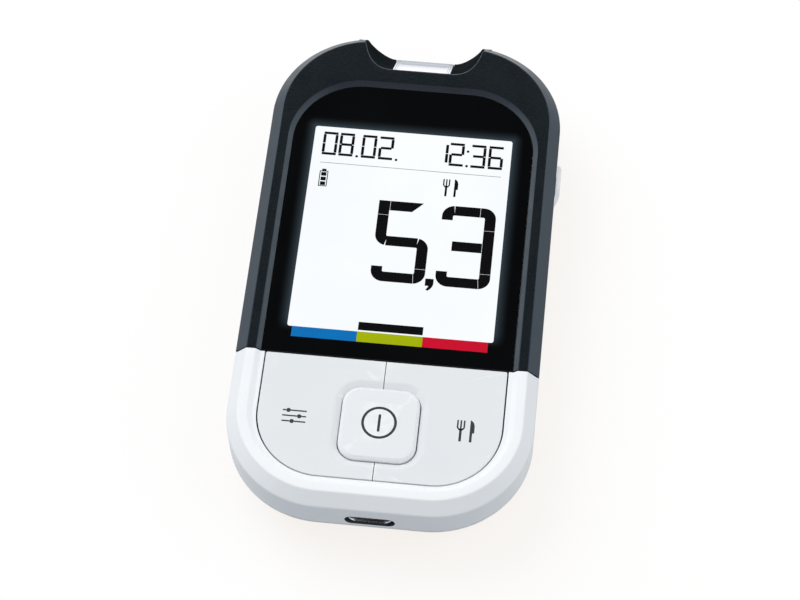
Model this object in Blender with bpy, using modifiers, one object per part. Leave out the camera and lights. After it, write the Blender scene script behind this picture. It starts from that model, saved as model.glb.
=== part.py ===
# Blood glucose meter: white case, black arch round a glossy window, three keys, a strip port in a
# scooped notch, a thumb slide that ejects the strip and a hinged battery door.
# X is to the right, Y runs to the strip port, Z is up out of the display. The case rests on Z = 0,
# and the origin is the middle of its underside.
import math

import bmesh
import bpy

mm = 0.001

# Case
case_width = 54.0 * mm
top_corner_radius = 18.2 * mm
bottom_corner_radius = 17.3 * mm
parting_drop = 0.35 * mm
wall = 1.6 * mm
fit_gap = 0.3 * mm
line_gap = 0.25 * mm
overrun = 2.0 * mm
key_panel_length = 23.14 * mm
window_length = 57.8 * mm
corner_steps = 10

# Raised rim: flank, crest and inner slope, the same on the white end and the black arch
flank_run = 2.1 * mm
flank_drop = 2.45 * mm
crest_width = 1.68 * mm
slope_run = 0.83 * mm
slope_drop = 0.77 * mm
forehead_depth = 12.0 * mm
window_corner_radius = 12.6 * mm
deck_thickness = 1.4 * mm
rim_floor_thickness = 1.33 * mm

# Tub of the rear half
tub_taper = 4.2 * mm
lip_rise = 0.2 * mm
tub_profile_shares = ((1.0, 0.0), (0.76, 0.06), (0.38, 0.24), (0.12, 0.6), (0.0, 1.0))

# Notch at the strip port: the upper edge on the crest, the lower edge at the parting line
notch_steps = 8
notch_top_floor_half = 5.8 * mm
notch_top_depth = 8.2 * mm
notch_top_bend_half = 10.1 * mm
notch_top_mouth_half = 11.2 * mm
notch_low_floor_half = 5.6 * mm
notch_low_bend_half = 8.2 * mm
notch_low_mouth_half = 11.2 * mm
notch_low_mouth_run = 7.85 * mm
notch_lining = 1.7 * mm
notch_lining_gap = 0.43 * mm

# Window and display
lens_recess = 0.05 * mm
glass_side_margin = 3.19 * mm
glass_low_margin = 3.65 * mm
glass_high_margin = 7.15 * mm
glass_thickness = 2.0 * mm
glass_ledge = 1.2 * mm
backlight_thickness = 1.6 * mm
tray_wall = 1.3 * mm
tray_floor_thickness = 0.95 * mm
connector_depth = 2.2 * mm
connector_margin = 1.6 * mm

# Keys
key_border = 0.75 * mm
key_thickness = 1.3 * mm
key_flange_reach = 0.8 * mm
key_flange_thickness = 0.7 * mm
key_travel = 0.4 * mm
key_pad_inset = 12.1 * mm
plunger_radius = 1.6 * mm
switch_clearance = 0.1 * mm
power_width = 13.9 * mm
power_height = 14.1 * mm
power_shift = 0.93 * mm
power_corner_radius = 3.2 * mm
power_rise = 0.35 * mm
power_bevel = 0.5 * mm
dish_margin = 1.4 * mm
dish_depth = 0.65 * mm
switch_width = 6.0 * mm
switch_height = 2.4 * mm
stem_radius = 1.7 * mm
stem_height = 0.4 * mm

# Circuit board and what stands on it
board_inset = 2.4 * mm
board_clearance = 0.6 * mm
board_thickness = 1.2 * mm
board_hole_radius = 1.3 * mm
processor_width = 7.0 * mm
processor_height = 1.2 * mm
processor_x = -9.0 * mm
processor_reach = 1.95 * mm
crystal_length = 6.0 * mm
crystal_width = 2.2 * mm
crystal_height = 1.6 * mm
crystal_x = 4.0 * mm
crystal_reach = 2.55 * mm

# Strip port
port_width = 11.0 * mm
port_side_gap = 0.15 * mm
port_depth = 7.95 * mm
port_ledge = 1.15 * mm
slot_width = 8.2 * mm
slot_height = 1.2 * mm
slot_rise = 2.3 * mm
slot_flare = 0.3 * mm
slot_flare_depth = 1.0 * mm
strip_block_margin = 0.5 * mm
strip_block_length = 4.35 * mm
strip_contact_width = 0.9 * mm
strip_contact_pitch = 2.4 * mm
strip_contact_thickness = 0.25 * mm
strip_contact_length = 2.6 * mm
strip_contact_rise = 0.5 * mm
lamp_width = 1.8 * mm
lamp_depth = 0.9 * mm
lamp_height = 1.1 * mm
lamp_side = 1.9 * mm

# Ejector
thumb_from_end = 27.75 * mm
thumb_length = 7.1 * mm
thumb_height = 4.0 * mm
thumb_proud = 0.85 * mm
thumb_ramp = 2.1 * mm
thumb_top_ramp = 0.4 * mm
eject_travel = 4.0 * mm
eject_stem_length = 3.0 * mm
eject_stem_height = 1.8 * mm
arm_inset = 2.8 * mm
arm_width = 1.8 * mm
arm_thickness = 1.9 * mm
arm_tail = 3.8 * mm
bar_margin = 1.0 * mm
bar_depth = 1.4 * mm
tongue_width = 6.0 * mm
tongue_length = 1.4 * mm
tongue_thickness = 0.8 * mm

# Micro USB socket
usb_slot_width = 8.8 * mm
usb_slot_height = 2.75 * mm
usb_lift = 0.35 * mm
usb_width = 7.5 * mm
usb_height = 2.3 * mm
usb_taper = 0.85 * mm
usb_sheet = 0.25 * mm
usb_depth = 5.4 * mm
usb_recess = 1.0 * mm
usb_tongue_width = 4.6 * mm
usb_tongue_thickness = 0.6 * mm
usb_tongue_short = 1.2 * mm
usb_tongue_drop = 0.25 * mm

# Battery bay and door
cell_radius = 10.0 * mm
cell_height = 3.2 * mm
cell_cap_step = 1.0 * mm
cell_cap_height = 0.3 * mm
cell_pitch = 21.2 * mm
cell_y = -13.5 * mm
cell_side_gap = 0.4 * mm
cell_low_gap = 1.2 * mm
cell_high_gap = 1.4 * mm
door_thickness = 1.3 * mm
door_recess = 0.3 * mm
bay_wall = 1.2 * mm
bay_roof = 1.0 * mm
bay_high_step = 0.8 * mm
latch_gap = 0.45 * mm
latch_width = 8.0 * mm
latch_thickness = 0.8 * mm
latch_height = 1.5 * mm
hook_x = 18.5 * mm
hook_width = 4.0 * mm
hook_root = 1.2 * mm
hook_reach = 1.2 * mm
hook_thickness = 0.8 * mm
hook_sweep = 0.5 * mm
grip_length = 12.0 * mm
grip_pitch = 1.6 * mm
grip_radius = 0.35 * mm
grip_count = 4
contact_sheet = 0.3 * mm
contact_width = 5.0 * mm
contact_span = 30.0 * mm
leaf_span = 28.0 * mm
leaf_height = 3.1 * mm

# Case screws
screw_top_inset = 11.5 * mm
screw_top_from_end = 9.55 * mm
screw_bottom_inset = 9.8 * mm
screw_bottom_from_end = 9.8 * mm
screw_head_radius = 1.7 * mm
screw_head_height = 1.2 * mm
screw_head_depth = 0.9 * mm
screw_radius = 0.9 * mm
screw_short = 0.85 * mm
screw_clearance = 0.3 * mm
boss_radius = 2.4 * mm
post_radius = 2.9 * mm
web_thickness = 1.2 * mm
round_steps = 24

# Heights, stacked up from the table: door, cells, board, display, window, rim
bay_floor = door_recess + door_thickness
tub_floor = bay_floor + lip_rise
cell_bottom = bay_floor + fit_gap
cell_top = cell_bottom + cell_height
contact_bottom = cell_top + fit_gap
roof_bottom = contact_bottom + contact_sheet + fit_gap
roof_top = roof_bottom + bay_roof
board_bottom = roof_top + board_clearance
board_top = board_bottom + board_thickness
on_board = board_top + fit_gap
parting_height = board_top - parting_drop
cover_bottom = parting_height + fit_gap / 2
tub_top = parting_height - fit_gap / 2
tray_floor = on_board + tray_floor_thickness
backlight_bottom = tray_floor + fit_gap
tray_top = backlight_bottom + backlight_thickness
glass_bottom = tray_top + fit_gap
deck_top = glass_bottom + glass_thickness
deck_bottom = deck_top - deck_thickness
lens_bottom = deck_top + fit_gap
shoulder_z = deck_top + fit_gap
crest_z = shoulder_z + flank_drop
floor_z = crest_z - slope_drop
rim_floor_bottom = floor_z - rim_floor_thickness
key_top = floor_z - lens_recess
key_bottom = key_top - key_thickness
key_flange_top = key_bottom - fit_gap
key_flange_bottom = key_flange_top - key_flange_thickness
power_flange_top = key_bottom - key_travel - switch_clearance - line_gap / 2
switch_top = on_board + switch_height + stem_height
plunger_end = switch_top + key_travel + switch_clearance
boss_top_low_end = key_flange_bottom - key_travel - fit_gap
screw_top = deck_bottom - screw_short
slot_middle_z = on_board + slot_rise
port_bottom = on_board + fit_gap
usb_middle_z = on_board + usb_height / 2 + usb_lift

# Edges along and across the meter, out from the keys and the window
half_width = case_width / 2
rim_width = flank_run + crest_width + slope_run
case_length = rim_width + key_border + key_panel_length + window_length + forehead_depth
end_y = case_length / 2
seam_y = rim_width + key_border + key_panel_length - end_y
window_high_y = seam_y + window_length
glass_width = (half_width - rim_width - glass_side_margin) * 2
glass_low_y = seam_y + glass_low_margin
glass_high_y = window_high_y - glass_high_margin
key_pad_x = half_width - key_pad_inset
power_y = seam_y - key_panel_length / 2 - power_shift
notch_top_floor_y = end_y - notch_top_depth
notch_far_y = end_y + notch_low_mouth_run + overrun
port_back_y = end_y - port_depth
lamp_x = port_width / 2 + lamp_side
thumb_middle_y = end_y - thumb_from_end
arm_outer_x = half_width - arm_inset
arm_low_y = thumb_middle_y - arm_tail
bar_low_y = glass_high_y + bar_margin
door_width = cell_pitch + (cell_radius + cell_side_gap) * 2
door_low_y = cell_y - cell_radius - cell_low_gap
door_high_y = cell_y + cell_radius + cell_high_gap
screw_top_x = half_width - screw_top_inset
screw_bottom_x = half_width - screw_bottom_inset
screw_top_y = end_y - screw_top_from_end
screw_bottom_y = screw_bottom_from_end - end_y
screw_places = (
    (screw_top_x, screw_top_y),
    (-screw_top_x, screw_top_y),
    (screw_bottom_x, screw_bottom_y),
    (-screw_bottom_x, screw_bottom_y),
)

for old in list(bpy.data.objects):
    bpy.data.objects.remove(old, do_unlink=True)

parts = bpy.data.collections.new("blood_glucose_meter")
cutters = bpy.data.collections.new("cutters")
bpy.context.scene.collection.children.link(parts)
bpy.context.scene.collection.children.link(cutters)


def add_mesh(name, mesh, group=cutters):
    """Link a mesh as a part, or as a hidden cutter."""
    thing = bpy.data.objects.new(name, mesh)
    group.objects.link(thing)
    if group is cutters:
        thing.hide_render = True
        thing.display_type = "WIRE"
    return thing


def from_bmesh(name, shape, group):
    """Turn a bmesh into an object with its faces out."""
    bmesh.ops.recalc_face_normals(shape, faces=shape.faces)
    mesh = bpy.data.meshes.new(name)
    shape.to_mesh(mesh)
    shape.free()
    return add_mesh(name, mesh, group)


def box(name, low, high, group=cutters):
    """Box between two corners."""
    shape = bmesh.new()
    bmesh.ops.create_cube(shape, size=1.0)
    for vertex in shape.verts:
        vertex.co = [low[i] if vertex.co[i] < 0 else high[i] for i in range(3)]
    return from_bmesh(name, shape, group)


def cylinder(name, x, y, low, high, radius, group=cutters, top_radius=None):
    """Upright cylinder, or a cone where top_radius is given."""
    shape = bmesh.new()
    bmesh.ops.create_cone(
        shape, cap_ends=True, segments=round_steps, radius1=radius,
        radius2=radius if top_radius is None else top_radius, depth=high - low,
    )
    bmesh.ops.translate(shape, verts=shape.verts, vec=(x, y, (low + high) / 2))
    return from_bmesh(name, shape, group)


def loft(name, rings, group=cutters):
    """Closed solid through rings of equally many points, capped at both ends."""
    shape = bmesh.new()
    rows = [[shape.verts.new(point) for point in ring] for ring in rings]
    count = len(rows[0])
    for lower, upper in zip(rows, rows[1:]):
        for k in range(count):
            after = (k + 1) % count
            shape.faces.new((lower[k], lower[after], upper[after], upper[k]))
    shape.faces.new(rows[0])
    shape.faces.new(rows[-1])
    return from_bmesh(name, shape, group)


def plate(name, outline, low, high, group=cutters):
    """Flat outline of constant thickness, drawn as a filled 2D curve."""
    curve = bpy.data.curves.new(name, "CURVE")
    curve.dimensions = "2D"
    curve.fill_mode = "BOTH"
    curve.extrude = (high - low) / 2
    spline = curve.splines.new("POLY")
    spline.points.add(len(outline) - 1)
    for point, (x, y) in zip(spline.points, outline):
        point.co = (x, y, 0, 1)
    spline.use_cyclic_u = True
    drawn = bpy.data.objects.new(name, curve)
    cutters.objects.link(drawn)
    shape = bmesh.new()
    shape.from_mesh(drawn.to_mesh())
    bpy.data.objects.remove(drawn, do_unlink=True)
    bmesh.ops.remove_doubles(shape, verts=shape.verts, dist=overrun / 10000)
    bmesh.ops.translate(shape, verts=shape.verts, vec=(0, 0, (low + high) / 2))
    return from_bmesh(name, shape, group)


def turned(name, profile, x, y, group=parts):
    """Round piece about an upright axis; the profile runs down its outer side."""
    mesh = bpy.data.meshes.new(name)
    edges = [(k, k + 1) for k in range(len(profile) - 1)]
    mesh.from_pydata([(radius, 0, z) for radius, z in profile], edges, [])
    piece = add_mesh(name, mesh, group)
    piece.location = (x, y, 0)
    spin = piece.modifiers.new("turn", "SCREW")
    spin.steps = round_steps
    spin.render_steps = round_steps
    spin.use_merge_vertices = True
    spin.merge_threshold = overrun / 10000
    spin.use_smooth_shade = True
    return piece


def boolean(target, other, operation):
    step = target.modifiers.new(other.name, "BOOLEAN")
    step.operation = operation
    step.solver = "EXACT"
    step.object = other


def cut(target, *others):
    for other in others:
        boolean(target, other, "DIFFERENCE")


def join(target, *others):
    for other in others:
        boolean(target, other, "UNION")


def keep(target, other):
    boolean(target, other, "INTERSECT")


def rounded(half, low, high, low_radius, high_radius):
    """Points of a rounded rectangle, anticlockwise from the upper right corner."""
    corners = (
        (half - high_radius, high - high_radius, high_radius, 0),
        (high_radius - half, high - high_radius, high_radius, 90),
        (low_radius - half, low + low_radius, low_radius, 180),
        (half - low_radius, low + low_radius, low_radius, 270),
    )
    points = []
    for x, y, radius, start in corners:
        for k in range(corner_steps + 1):
            angle = math.radians(start + 90 * k / corner_steps)
            points.append((x + radius * math.cos(angle), y + radius * math.sin(angle)))
    return points


def case_outline(inset):
    return rounded(
        half_width - inset, inset - end_y, end_y - inset,
        bottom_corner_radius - inset, top_corner_radius - inset,
    )


def face_outline(grow):
    """Foot of the inner slope, round window and keys."""
    return rounded(
        half_width - rim_width + grow, rim_width - end_y - grow, window_high_y + grow,
        bottom_corner_radius - rim_width + grow, window_corner_radius + grow,
    )


def power_outline(grow):
    half_height = power_height / 2 + grow
    radius = power_corner_radius + grow
    return rounded(power_width / 2 + grow, power_y - half_height, power_y + half_height, radius, radius)


def at(outline, z):
    return [(x, y, z) for x, y in outline]


def notch_outline(floor_half, floor_y, bend_half, mouth_half, mouth_y):
    """Symmetric scoop: flat floor, then one quadratic curve to each mouth corner and past it."""
    right = []
    for k in range(notch_steps + 1):
        t = k / notch_steps
        near, middle, far = (1 - t) ** 2, 2 * t * (1 - t), t * t
        right.append((
            near * floor_half + middle * bend_half + far * mouth_half,
            (near + middle) * floor_y + far * mouth_y,
        ))
    run, rise = mouth_half - bend_half, mouth_y - floor_y
    past = (notch_far_y - mouth_y) / rise
    right.append((mouth_half + run * past, notch_far_y))
    return right + [(-x, y) for x, y in reversed(right)]


def notch_top(grow):
    return notch_outline(
        notch_top_floor_half + grow / 2, notch_top_floor_y - grow,
        notch_top_bend_half + grow, notch_top_mouth_half + grow, end_y - flank_run,
    )


def notch_low(grow):
    return notch_outline(
        notch_low_floor_half + grow / 2, end_y - grow,
        notch_low_bend_half + grow, notch_low_mouth_half + grow, end_y + notch_low_mouth_run,
    )


def blend(first, second, share):
    return [(a + (c - a) * share, b + (d - b) * share) for (a, b), (c, d) in zip(first, second)]


def scoop(name, grow=0):
    """Sloped notch cutter, run on past the crest and the parting line; grown, it leaves a lining."""
    top, low = notch_top(grow), notch_low(grow)
    past = overrun / (crest_z - cover_bottom)
    cutter = loft(name, (
        at(blend(low, top, -past), cover_bottom - overrun),
        at(low, cover_bottom),
        at(top, crest_z),
        at(blend(low, top, 1 + past), crest_z + overrun),
    ))
    cutter.modifiers.new("flat_faces", "TRIANGULATE")
    return cutter


def slope_cutter(name):
    """The inner slope, run on past the crest."""
    past = overrun / slope_drop
    return loft(name, (
        at(face_outline(0), floor_z - fit_gap / 10),
        at(face_outline(0), floor_z),
        at(face_outline(slope_run), crest_z),
        at(face_outline(slope_run * (1 + past)), crest_z + overrun),
    ))


def beyond_seam(name, edge, low, high):
    """Block that covers everything on the strip port side of the seam."""
    return box(name, (-case_width, edge, low), (case_width, case_length, high))


def before_seam(name, edge, low, high):
    return box(name, (-case_width, -case_length, low), (case_width, edge, high))


def front_cover():
    cover = loft("front_cover", (
        at(case_outline(0), cover_bottom),
        at(case_outline(0), shoulder_z),
        at(case_outline(flank_run), crest_z),
    ), parts)
    inside = loft("cover_cavity", (
        at(case_outline(wall), cover_bottom - overrun), at(case_outline(wall), deck_bottom),
    ))
    raised = loft("cover_key_cavity", (
        at(case_outline(wall), deck_bottom - wall), at(case_outline(wall), rim_floor_bottom),
    ))
    keep(raised, before_seam("cover_key_cavity_end", seam_y - line_gap, 0, crest_z))
    keys = plate("key_opening", face_outline(-key_border), deck_bottom - wall, crest_z + overrun)
    keep(keys, before_seam("key_opening_end", seam_y, 0, crest_z + overrun * 2))
    cut(
        cover,
        beyond_seam("cover_step", seam_y - line_gap / 2, deck_top, crest_z + overrun),
        inside, raised, keys,
        slope_cutter("cover_slope"),
        scoop("cover_scoop", notch_lining + notch_lining_gap),
        box(
            "glass_opening",
            (-glass_width / 2 - fit_gap, glass_low_y - fit_gap, deck_bottom - overrun),
            (glass_width / 2 + fit_gap, glass_high_y + fit_gap, deck_top + overrun),
        ),
        box(
            "port_opening",
            (-port_width / 2 - fit_gap, port_back_y - fit_gap, port_bottom - fit_gap),
            (port_width / 2 + fit_gap, case_length, crest_z),
        ),
        eject_slot(),
        usb_opening(),
    )
    for index, (x, y) in enumerate(screw_places):
        add_boss(cover, index, x, y)
    return cover


def add_boss(cover, index, x, y):
    """Boss that takes a case screw: under the deck, or on a web from the wall beside the keys."""
    under_deck = y > seam_y
    top = deck_bottom + deck_thickness / 2 if under_deck else boss_top_low_end
    join(cover, cylinder(f"boss_{index}", x, y, on_board, top, boss_radius))
    if not under_deck:
        side = 1 if x > 0 else -1
        reach = half_width - wall - rim_width / 2
        low, high = sorted((x, side * reach))
        join(cover, box(
            f"boss_web_{index}",
            (low, y - web_thickness / 2, on_board + wall), (high, y + web_thickness / 2, top - fit_gap),
        ))
    bore = screw_radius + screw_clearance
    cut(cover, cylinder(f"boss_bore_{index}", x, y, on_board - overrun, screw_top + fit_gap, bore))


def eject_slot():
    """Slot in the right-hand wall that the ejector's stem runs in."""
    low = thumb_middle_y - eject_stem_length / 2 - fit_gap
    high = thumb_middle_y + eject_stem_length / 2 + eject_travel + fit_gap
    half = eject_stem_height / 2 + fit_gap
    return box(
        "eject_slot",
        (half_width - wall - overrun, low, slot_middle_z - half), (case_width, high, slot_middle_z + half),
    )


def usb_opening():
    """Round-ended slot through the end wall."""
    half, radius = usb_slot_width / 2, usb_slot_height / 2
    outline = rounded(half, -radius, radius, radius, radius)
    return loft("usb_opening", (
        [(x, -end_y - overrun, usb_middle_z + z) for x, z in outline],
        [(x, -end_y + wall + overrun, usb_middle_z + z) for x, z in outline],
    ))


def front_bezel():
    """Arch on the deck, with a lining down the scooped notch to the parting line."""
    bezel = loft("front_bezel", (
        at(case_outline(0), cover_bottom),
        at(case_outline(0), shoulder_z),
        at(case_outline(flank_run), crest_z),
    ), parts)
    below = box(
        "bezel_below",
        (-case_width, -case_length, cover_bottom - overrun), (case_width, case_length, shoulder_z),
    )
    cut(below, scoop("bezel_lining", notch_lining))
    cut(
        bezel,
        below,
        before_seam("bezel_end", seam_y + line_gap / 2, 0, crest_z + overrun),
        plate("bezel_window", face_outline(0), shoulder_z - overrun, floor_z),
        slope_cutter("bezel_slope"),
        scoop("bezel_scoop"),
        box(
            "bezel_port",
            (-port_width / 2 - port_side_gap, port_back_y - port_side_gap, 0),
            (port_width / 2 + port_side_gap, case_length, crest_z + overrun),
        ),
    )
    return bezel


def display_lens():
    lens = plate("display_lens", face_outline(-line_gap), lens_bottom, floor_z - lens_recess, parts)
    cut(lens, before_seam("lens_end", seam_y + line_gap / 2, 0, crest_z))
    return lens


def lcd_glass():
    """Two bonded glasses: the lower one is longer, and its ledge carries the contacts."""
    half = glass_width / 2
    glass = box("lcd_glass", (-half, glass_low_y, glass_bottom), (half, glass_high_y, deck_top), parts)
    cut(glass, box(
        "glass_step",
        (-case_width, glass_high_y - glass_ledge, glass_bottom + glass_thickness / 2),
        (case_width, end_y, crest_z),
    ))
    return glass


def lcd_frame():
    """Tray for the backlight, with a slot at its far end for the elastomer connector."""
    half = glass_width / 2 + fit_gap
    frame = box(
        "lcd_frame", (-half, glass_low_y, on_board), (half, glass_high_y, tray_top), parts,
    )
    bed_end = glass_high_y - connector_depth - connector_margin
    cut(
        frame,
        box(
            "tray_bed",
            (tray_wall - half, glass_low_y + tray_wall, tray_floor),
            (half - tray_wall, bed_end - tray_wall, crest_z),
        ),
        box(
            "connector_slot",
            (tray_wall - half, bed_end, 0),
            (half - tray_wall, bed_end + connector_depth + fit_gap * 2, crest_z),
        ),
    )
    return frame


def lcd_backlight():
    half = glass_width / 2 - tray_wall
    high = glass_high_y - connector_depth - connector_margin - tray_wall - fit_gap
    return box(
        "lcd_backlight",
        (-half, glass_low_y + tray_wall + fit_gap, backlight_bottom), (half, high, tray_top), parts,
    )


def lcd_connector():
    half = glass_width / 2 - tray_wall
    low = glass_high_y - connector_depth - connector_margin + fit_gap
    return box("lcd_connector", (-half, low, on_board), (half, low + connector_depth, tray_top), parts)


def key_half(name, side):
    """Half of the key panel: plate, hidden flange under the rim, dish round the button, plunger."""
    edge = seam_y - line_gap / 2
    near, far = sorted((side * line_gap / 2, side * case_width))
    half_box = (near, -case_length, 0), (far, edge, crest_z)
    key = plate(name, face_outline(-key_border - line_gap), key_bottom, key_top, parts)
    keep(key, box(f"{name}_half", *half_box))
    flange = plate(
        f"{name}_flange", face_outline(key_flange_reach - key_border), key_flange_bottom, key_flange_top,
    )
    cut(flange, plate(
        f"{name}_flange_inside", face_outline(-key_border - key_flange_reach * 2),
        key_flange_bottom - overrun, crest_z,
    ))
    keep(flange, box(
        f"{name}_flange_half", (near + side * power_width / 2, -case_length, 0),
        (far + side * power_width / 2, edge - fit_gap, crest_z),
    ))
    neck = plate(
        f"{name}_neck", face_outline(-key_border - line_gap), key_flange_bottom, key_bottom + fit_gap,
    )
    cut(neck, plate(
        f"{name}_neck_inside", face_outline(-key_border - key_flange_reach * 2),
        key_flange_bottom - overrun, crest_z,
    ))
    keep(neck, box(
        f"{name}_neck_half", (near + side * power_width / 2, -case_length, 0),
        (far + side * power_width / 2, edge - fit_gap, crest_z),
    ))
    join(key, flange, neck, cylinder(
        f"{name}_plunger", side * key_pad_x, power_y, plunger_end, key_bottom + fit_gap, plunger_radius,
    ))
    past = overrun / dish_depth
    slant = dish_margin - line_gap
    cut(
        key,
        plate(f"{name}_hole", power_outline(line_gap), key_flange_bottom, crest_z),
        loft(f"{name}_dish", (
            at(power_outline(line_gap), key_top - dish_depth),
            at(power_outline(dish_margin), key_top),
            at(power_outline(dish_margin + slant * past), key_top + overrun),
        )),
    )
    return key


def power_button():
    """Raised button with bevelled edges, a flange behind the key panel and a plunger."""
    top = key_top + power_rise
    button = loft("power_button", (
        at(power_outline(0), power_flange_top - fit_gap),
        at(power_outline(0), top - power_bevel),
        at(power_outline(-power_bevel), top),
    ), parts)
    join(
        button,
        plate(
            "power_flange", power_outline(key_flange_reach),
            power_flange_top - key_flange_thickness, power_flange_top,
        ),
        cylinder("power_plunger", 0, power_y, plunger_end, power_flange_top, plunger_radius),
    )
    return button


def tact_switch(name, x):
    half = switch_width / 2
    switch = box(
        name, (x - half, power_y - half, on_board), (x + half, power_y + half, on_board + switch_height), parts,
    )
    join(switch, cylinder(f"{name}_stem", x, power_y, on_board + switch_height / 2, switch_top, stem_radius))
    return switch


def circuit_board():
    board = plate("circuit_board", case_outline(board_inset), board_bottom, board_top, parts)
    half = port_width / 2 + fit_gap * 2
    cut(board, box("board_notch", (-half, port_back_y + port_ledge, 0), (half, end_y, crest_z)))
    for index, (x, y) in enumerate(screw_places):
        cut(board, cylinder(f"board_hole_{index}", x, y, 0, crest_z, board_hole_radius))
    return board


def processor():
    half = processor_width / 2
    return box(
        "processor",
        (processor_x - half, seam_y - processor_reach - half, on_board),
        (processor_x + half, seam_y - processor_reach + half, on_board + processor_height), parts,
    )


def clock_crystal():
    half, radius = crystal_length / 2, crystal_width / 2
    outline = rounded(half, -radius, radius, radius / 2, radius / 2)
    points = [(x + crystal_x, y + seam_y - crystal_reach) for x, y in outline]
    return plate("clock_crystal", points, on_board, on_board + crystal_height, parts)


def port_light_guide():
    """White floor of the notch, down its slope to the end wall, with a flared slot for the strip."""
    back = port_back_y
    fall = (crest_z - cover_bottom) / notch_top_depth
    back_top = crest_z - (back - notch_top_floor_y) * fall
    step = back + port_ledge + fit_gap
    side = (
        (back, port_bottom), (step, port_bottom), (step, cover_bottom), (end_y, cover_bottom),
        (back, back_top),
    )
    half = port_width / 2
    guide = loft("port_light_guide", (
        [(-half, y, z) for y, z in side], [(half, y, z) for y, z in side],
    ), parts)
    slot_half, low = slot_width / 2, slot_middle_z - slot_height / 2
    front = notch_top_floor_y + (crest_z - low - slot_height) / fall
    rings = []
    for y, grow in (
        (back - overrun, 0), (front - slot_flare_depth, 0), (front, slot_flare),
        (front + slot_flare_depth * 2, slot_flare * 3),
    ):
        high = low + slot_height + grow
        x = slot_half + grow
        rings.append([(-x, y, low), (x, y, low), (x, y, high), (-x, y, high)])
    cut(guide, loft("port_slot", rings))
    return guide


def strip_connector():
    """Block behind the port, with the strip's channel through it."""
    back = port_back_y - fit_gap
    front = back - strip_block_length
    half = port_width / 2 + strip_block_margin
    block = box(
        "strip_connector", (-half, front, on_board), (half, back, deck_bottom - fit_gap), parts,
    )
    rise = slot_height / 2
    cut(block, box(
        "strip_channel",
        (-slot_width / 2, front - overrun, slot_middle_z - rise),
        (slot_width / 2, back + overrun, slot_middle_z + rise),
    ))
    return block


def strip_contact(index):
    """Thin leaf in the strip's channel, bowed up in the middle."""
    x = (index - 2) * strip_contact_pitch
    half = strip_contact_width / 2
    low = slot_middle_z - slot_height / 2 + fit_gap / 3
    front = port_back_y - fit_gap * 2 - strip_contact_length
    steps = corner_steps
    upper, lower = [], []
    for k in range(steps + 1):
        share = k / steps
        y = front + strip_contact_length * share
        z = low + strip_contact_rise * math.sin(math.pi * share)
        lower.append((y, z))
        upper.append((y, z + strip_contact_thickness))
    side = lower + upper[::-1]
    return loft(f"strip_contact_{index}", (
        [(x - half, y, z) for y, z in side], [(x + half, y, z) for y, z in side],
    ), parts)


def port_lamp():
    """Lamp on the board beside the port, against the light guide's side."""
    low_y = port_back_y - fit_gap - lamp_depth
    return box(
        "port_lamp", (lamp_x - lamp_width / 2, low_y, on_board),
        (lamp_x + lamp_width / 2, low_y + lamp_depth, on_board + lamp_height), parts,
    )


def ejector_slide():
    """Thumb piece outside the wall, ramped at both ends, and its stem through the wall."""
    low = thumb_middle_y - thumb_length / 2
    high = thumb_middle_y + thumb_length / 2
    inner = half_width + line_gap
    outer = half_width + thumb_proud
    side = ((inner, low), (outer, low + thumb_ramp), (outer, high - thumb_top_ramp), (inner, high))
    half = thumb_height / 2
    slide = plate("ejector_slide", side, slot_middle_z - half, slot_middle_z + half, parts)
    stem_half = eject_stem_length / 2
    join(slide, box(
        "eject_stem",
        (arm_outer_x + fit_gap, thumb_middle_y - stem_half, slot_middle_z - eject_stem_height / 2),
        (inner + line_gap, thumb_middle_y + stem_half, slot_middle_z + eject_stem_height / 2),
    ))
    return slide


def ejector_pusher():
    """Arm along the wall, bar across the meter and the tongue that pushes the strip out."""
    low, high = slot_middle_z - arm_thickness / 2, slot_middle_z + arm_thickness / 2
    bar_high = bar_low_y + bar_depth
    pusher = plate("ejector_pusher", (
        (arm_outer_x, arm_low_y), (arm_outer_x, bar_high), (-tongue_width / 2, bar_high),
        (-tongue_width / 2, bar_low_y), (arm_outer_x - arm_width, bar_low_y),
        (arm_outer_x - arm_width, arm_low_y),
    ), low, high, parts)
    tongue_low = slot_middle_z - tongue_thickness / 2
    join(pusher, box(
        "eject_tongue",
        (-tongue_width / 2, bar_low_y + bar_depth / 2, tongue_low),
        (tongue_width / 2, bar_high + tongue_length, tongue_low + tongue_thickness),
    ))
    return pusher


def usb_outline(shrink):
    """Six-sided micro USB section, narrower at the bottom."""
    half, rise = usb_width / 2 - shrink, usb_height / 2 - shrink
    foot = half - usb_taper
    return [(foot, -rise), (half, -rise / 3), (half, rise), (-half, rise), (-half, -rise / 3), (-foot, -rise)]


def usb_ring(y, shrink):
    return [(x, y, usb_middle_z + z) for x, z in usb_outline(shrink)]


def usb_shell():
    mouth = -end_y + usb_recess
    shell = loft("usb_shell", (usb_ring(mouth, 0), usb_ring(mouth + usb_depth, 0)), parts)
    cut(shell, loft("usb_mouth", (
        usb_ring(mouth - overrun, usb_sheet), usb_ring(mouth + usb_depth - usb_sheet, usb_sheet),
    )))
    return shell


def usb_tongue():
    """Contact tongue inside the socket, seated just in front of the shell's back."""
    mouth = -end_y + usb_recess
    low = usb_middle_z - usb_tongue_drop
    half = usb_tongue_width / 2
    return box(
        "usb_tongue",
        (-half, mouth + usb_tongue_short, low),
        (half, mouth + usb_depth - usb_sheet - fit_gap, low + usb_tongue_thickness), parts,
    )


def tub_rings(extra, low, high):
    """Rings of the tub's tapered wall between two heights; extra is the inset of the inner face."""
    rings = []
    heights = [share * tub_top for taper_share, share in tub_profile_shares]
    tapers = [share * tub_taper for share, height_share in tub_profile_shares]
    for z in [low] + [height for height in heights if low < height < tub_top] + [high]:
        rings.append(at(case_outline(read_off(min(z, tub_top), heights, tapers) + extra), z))
    return rings


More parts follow.
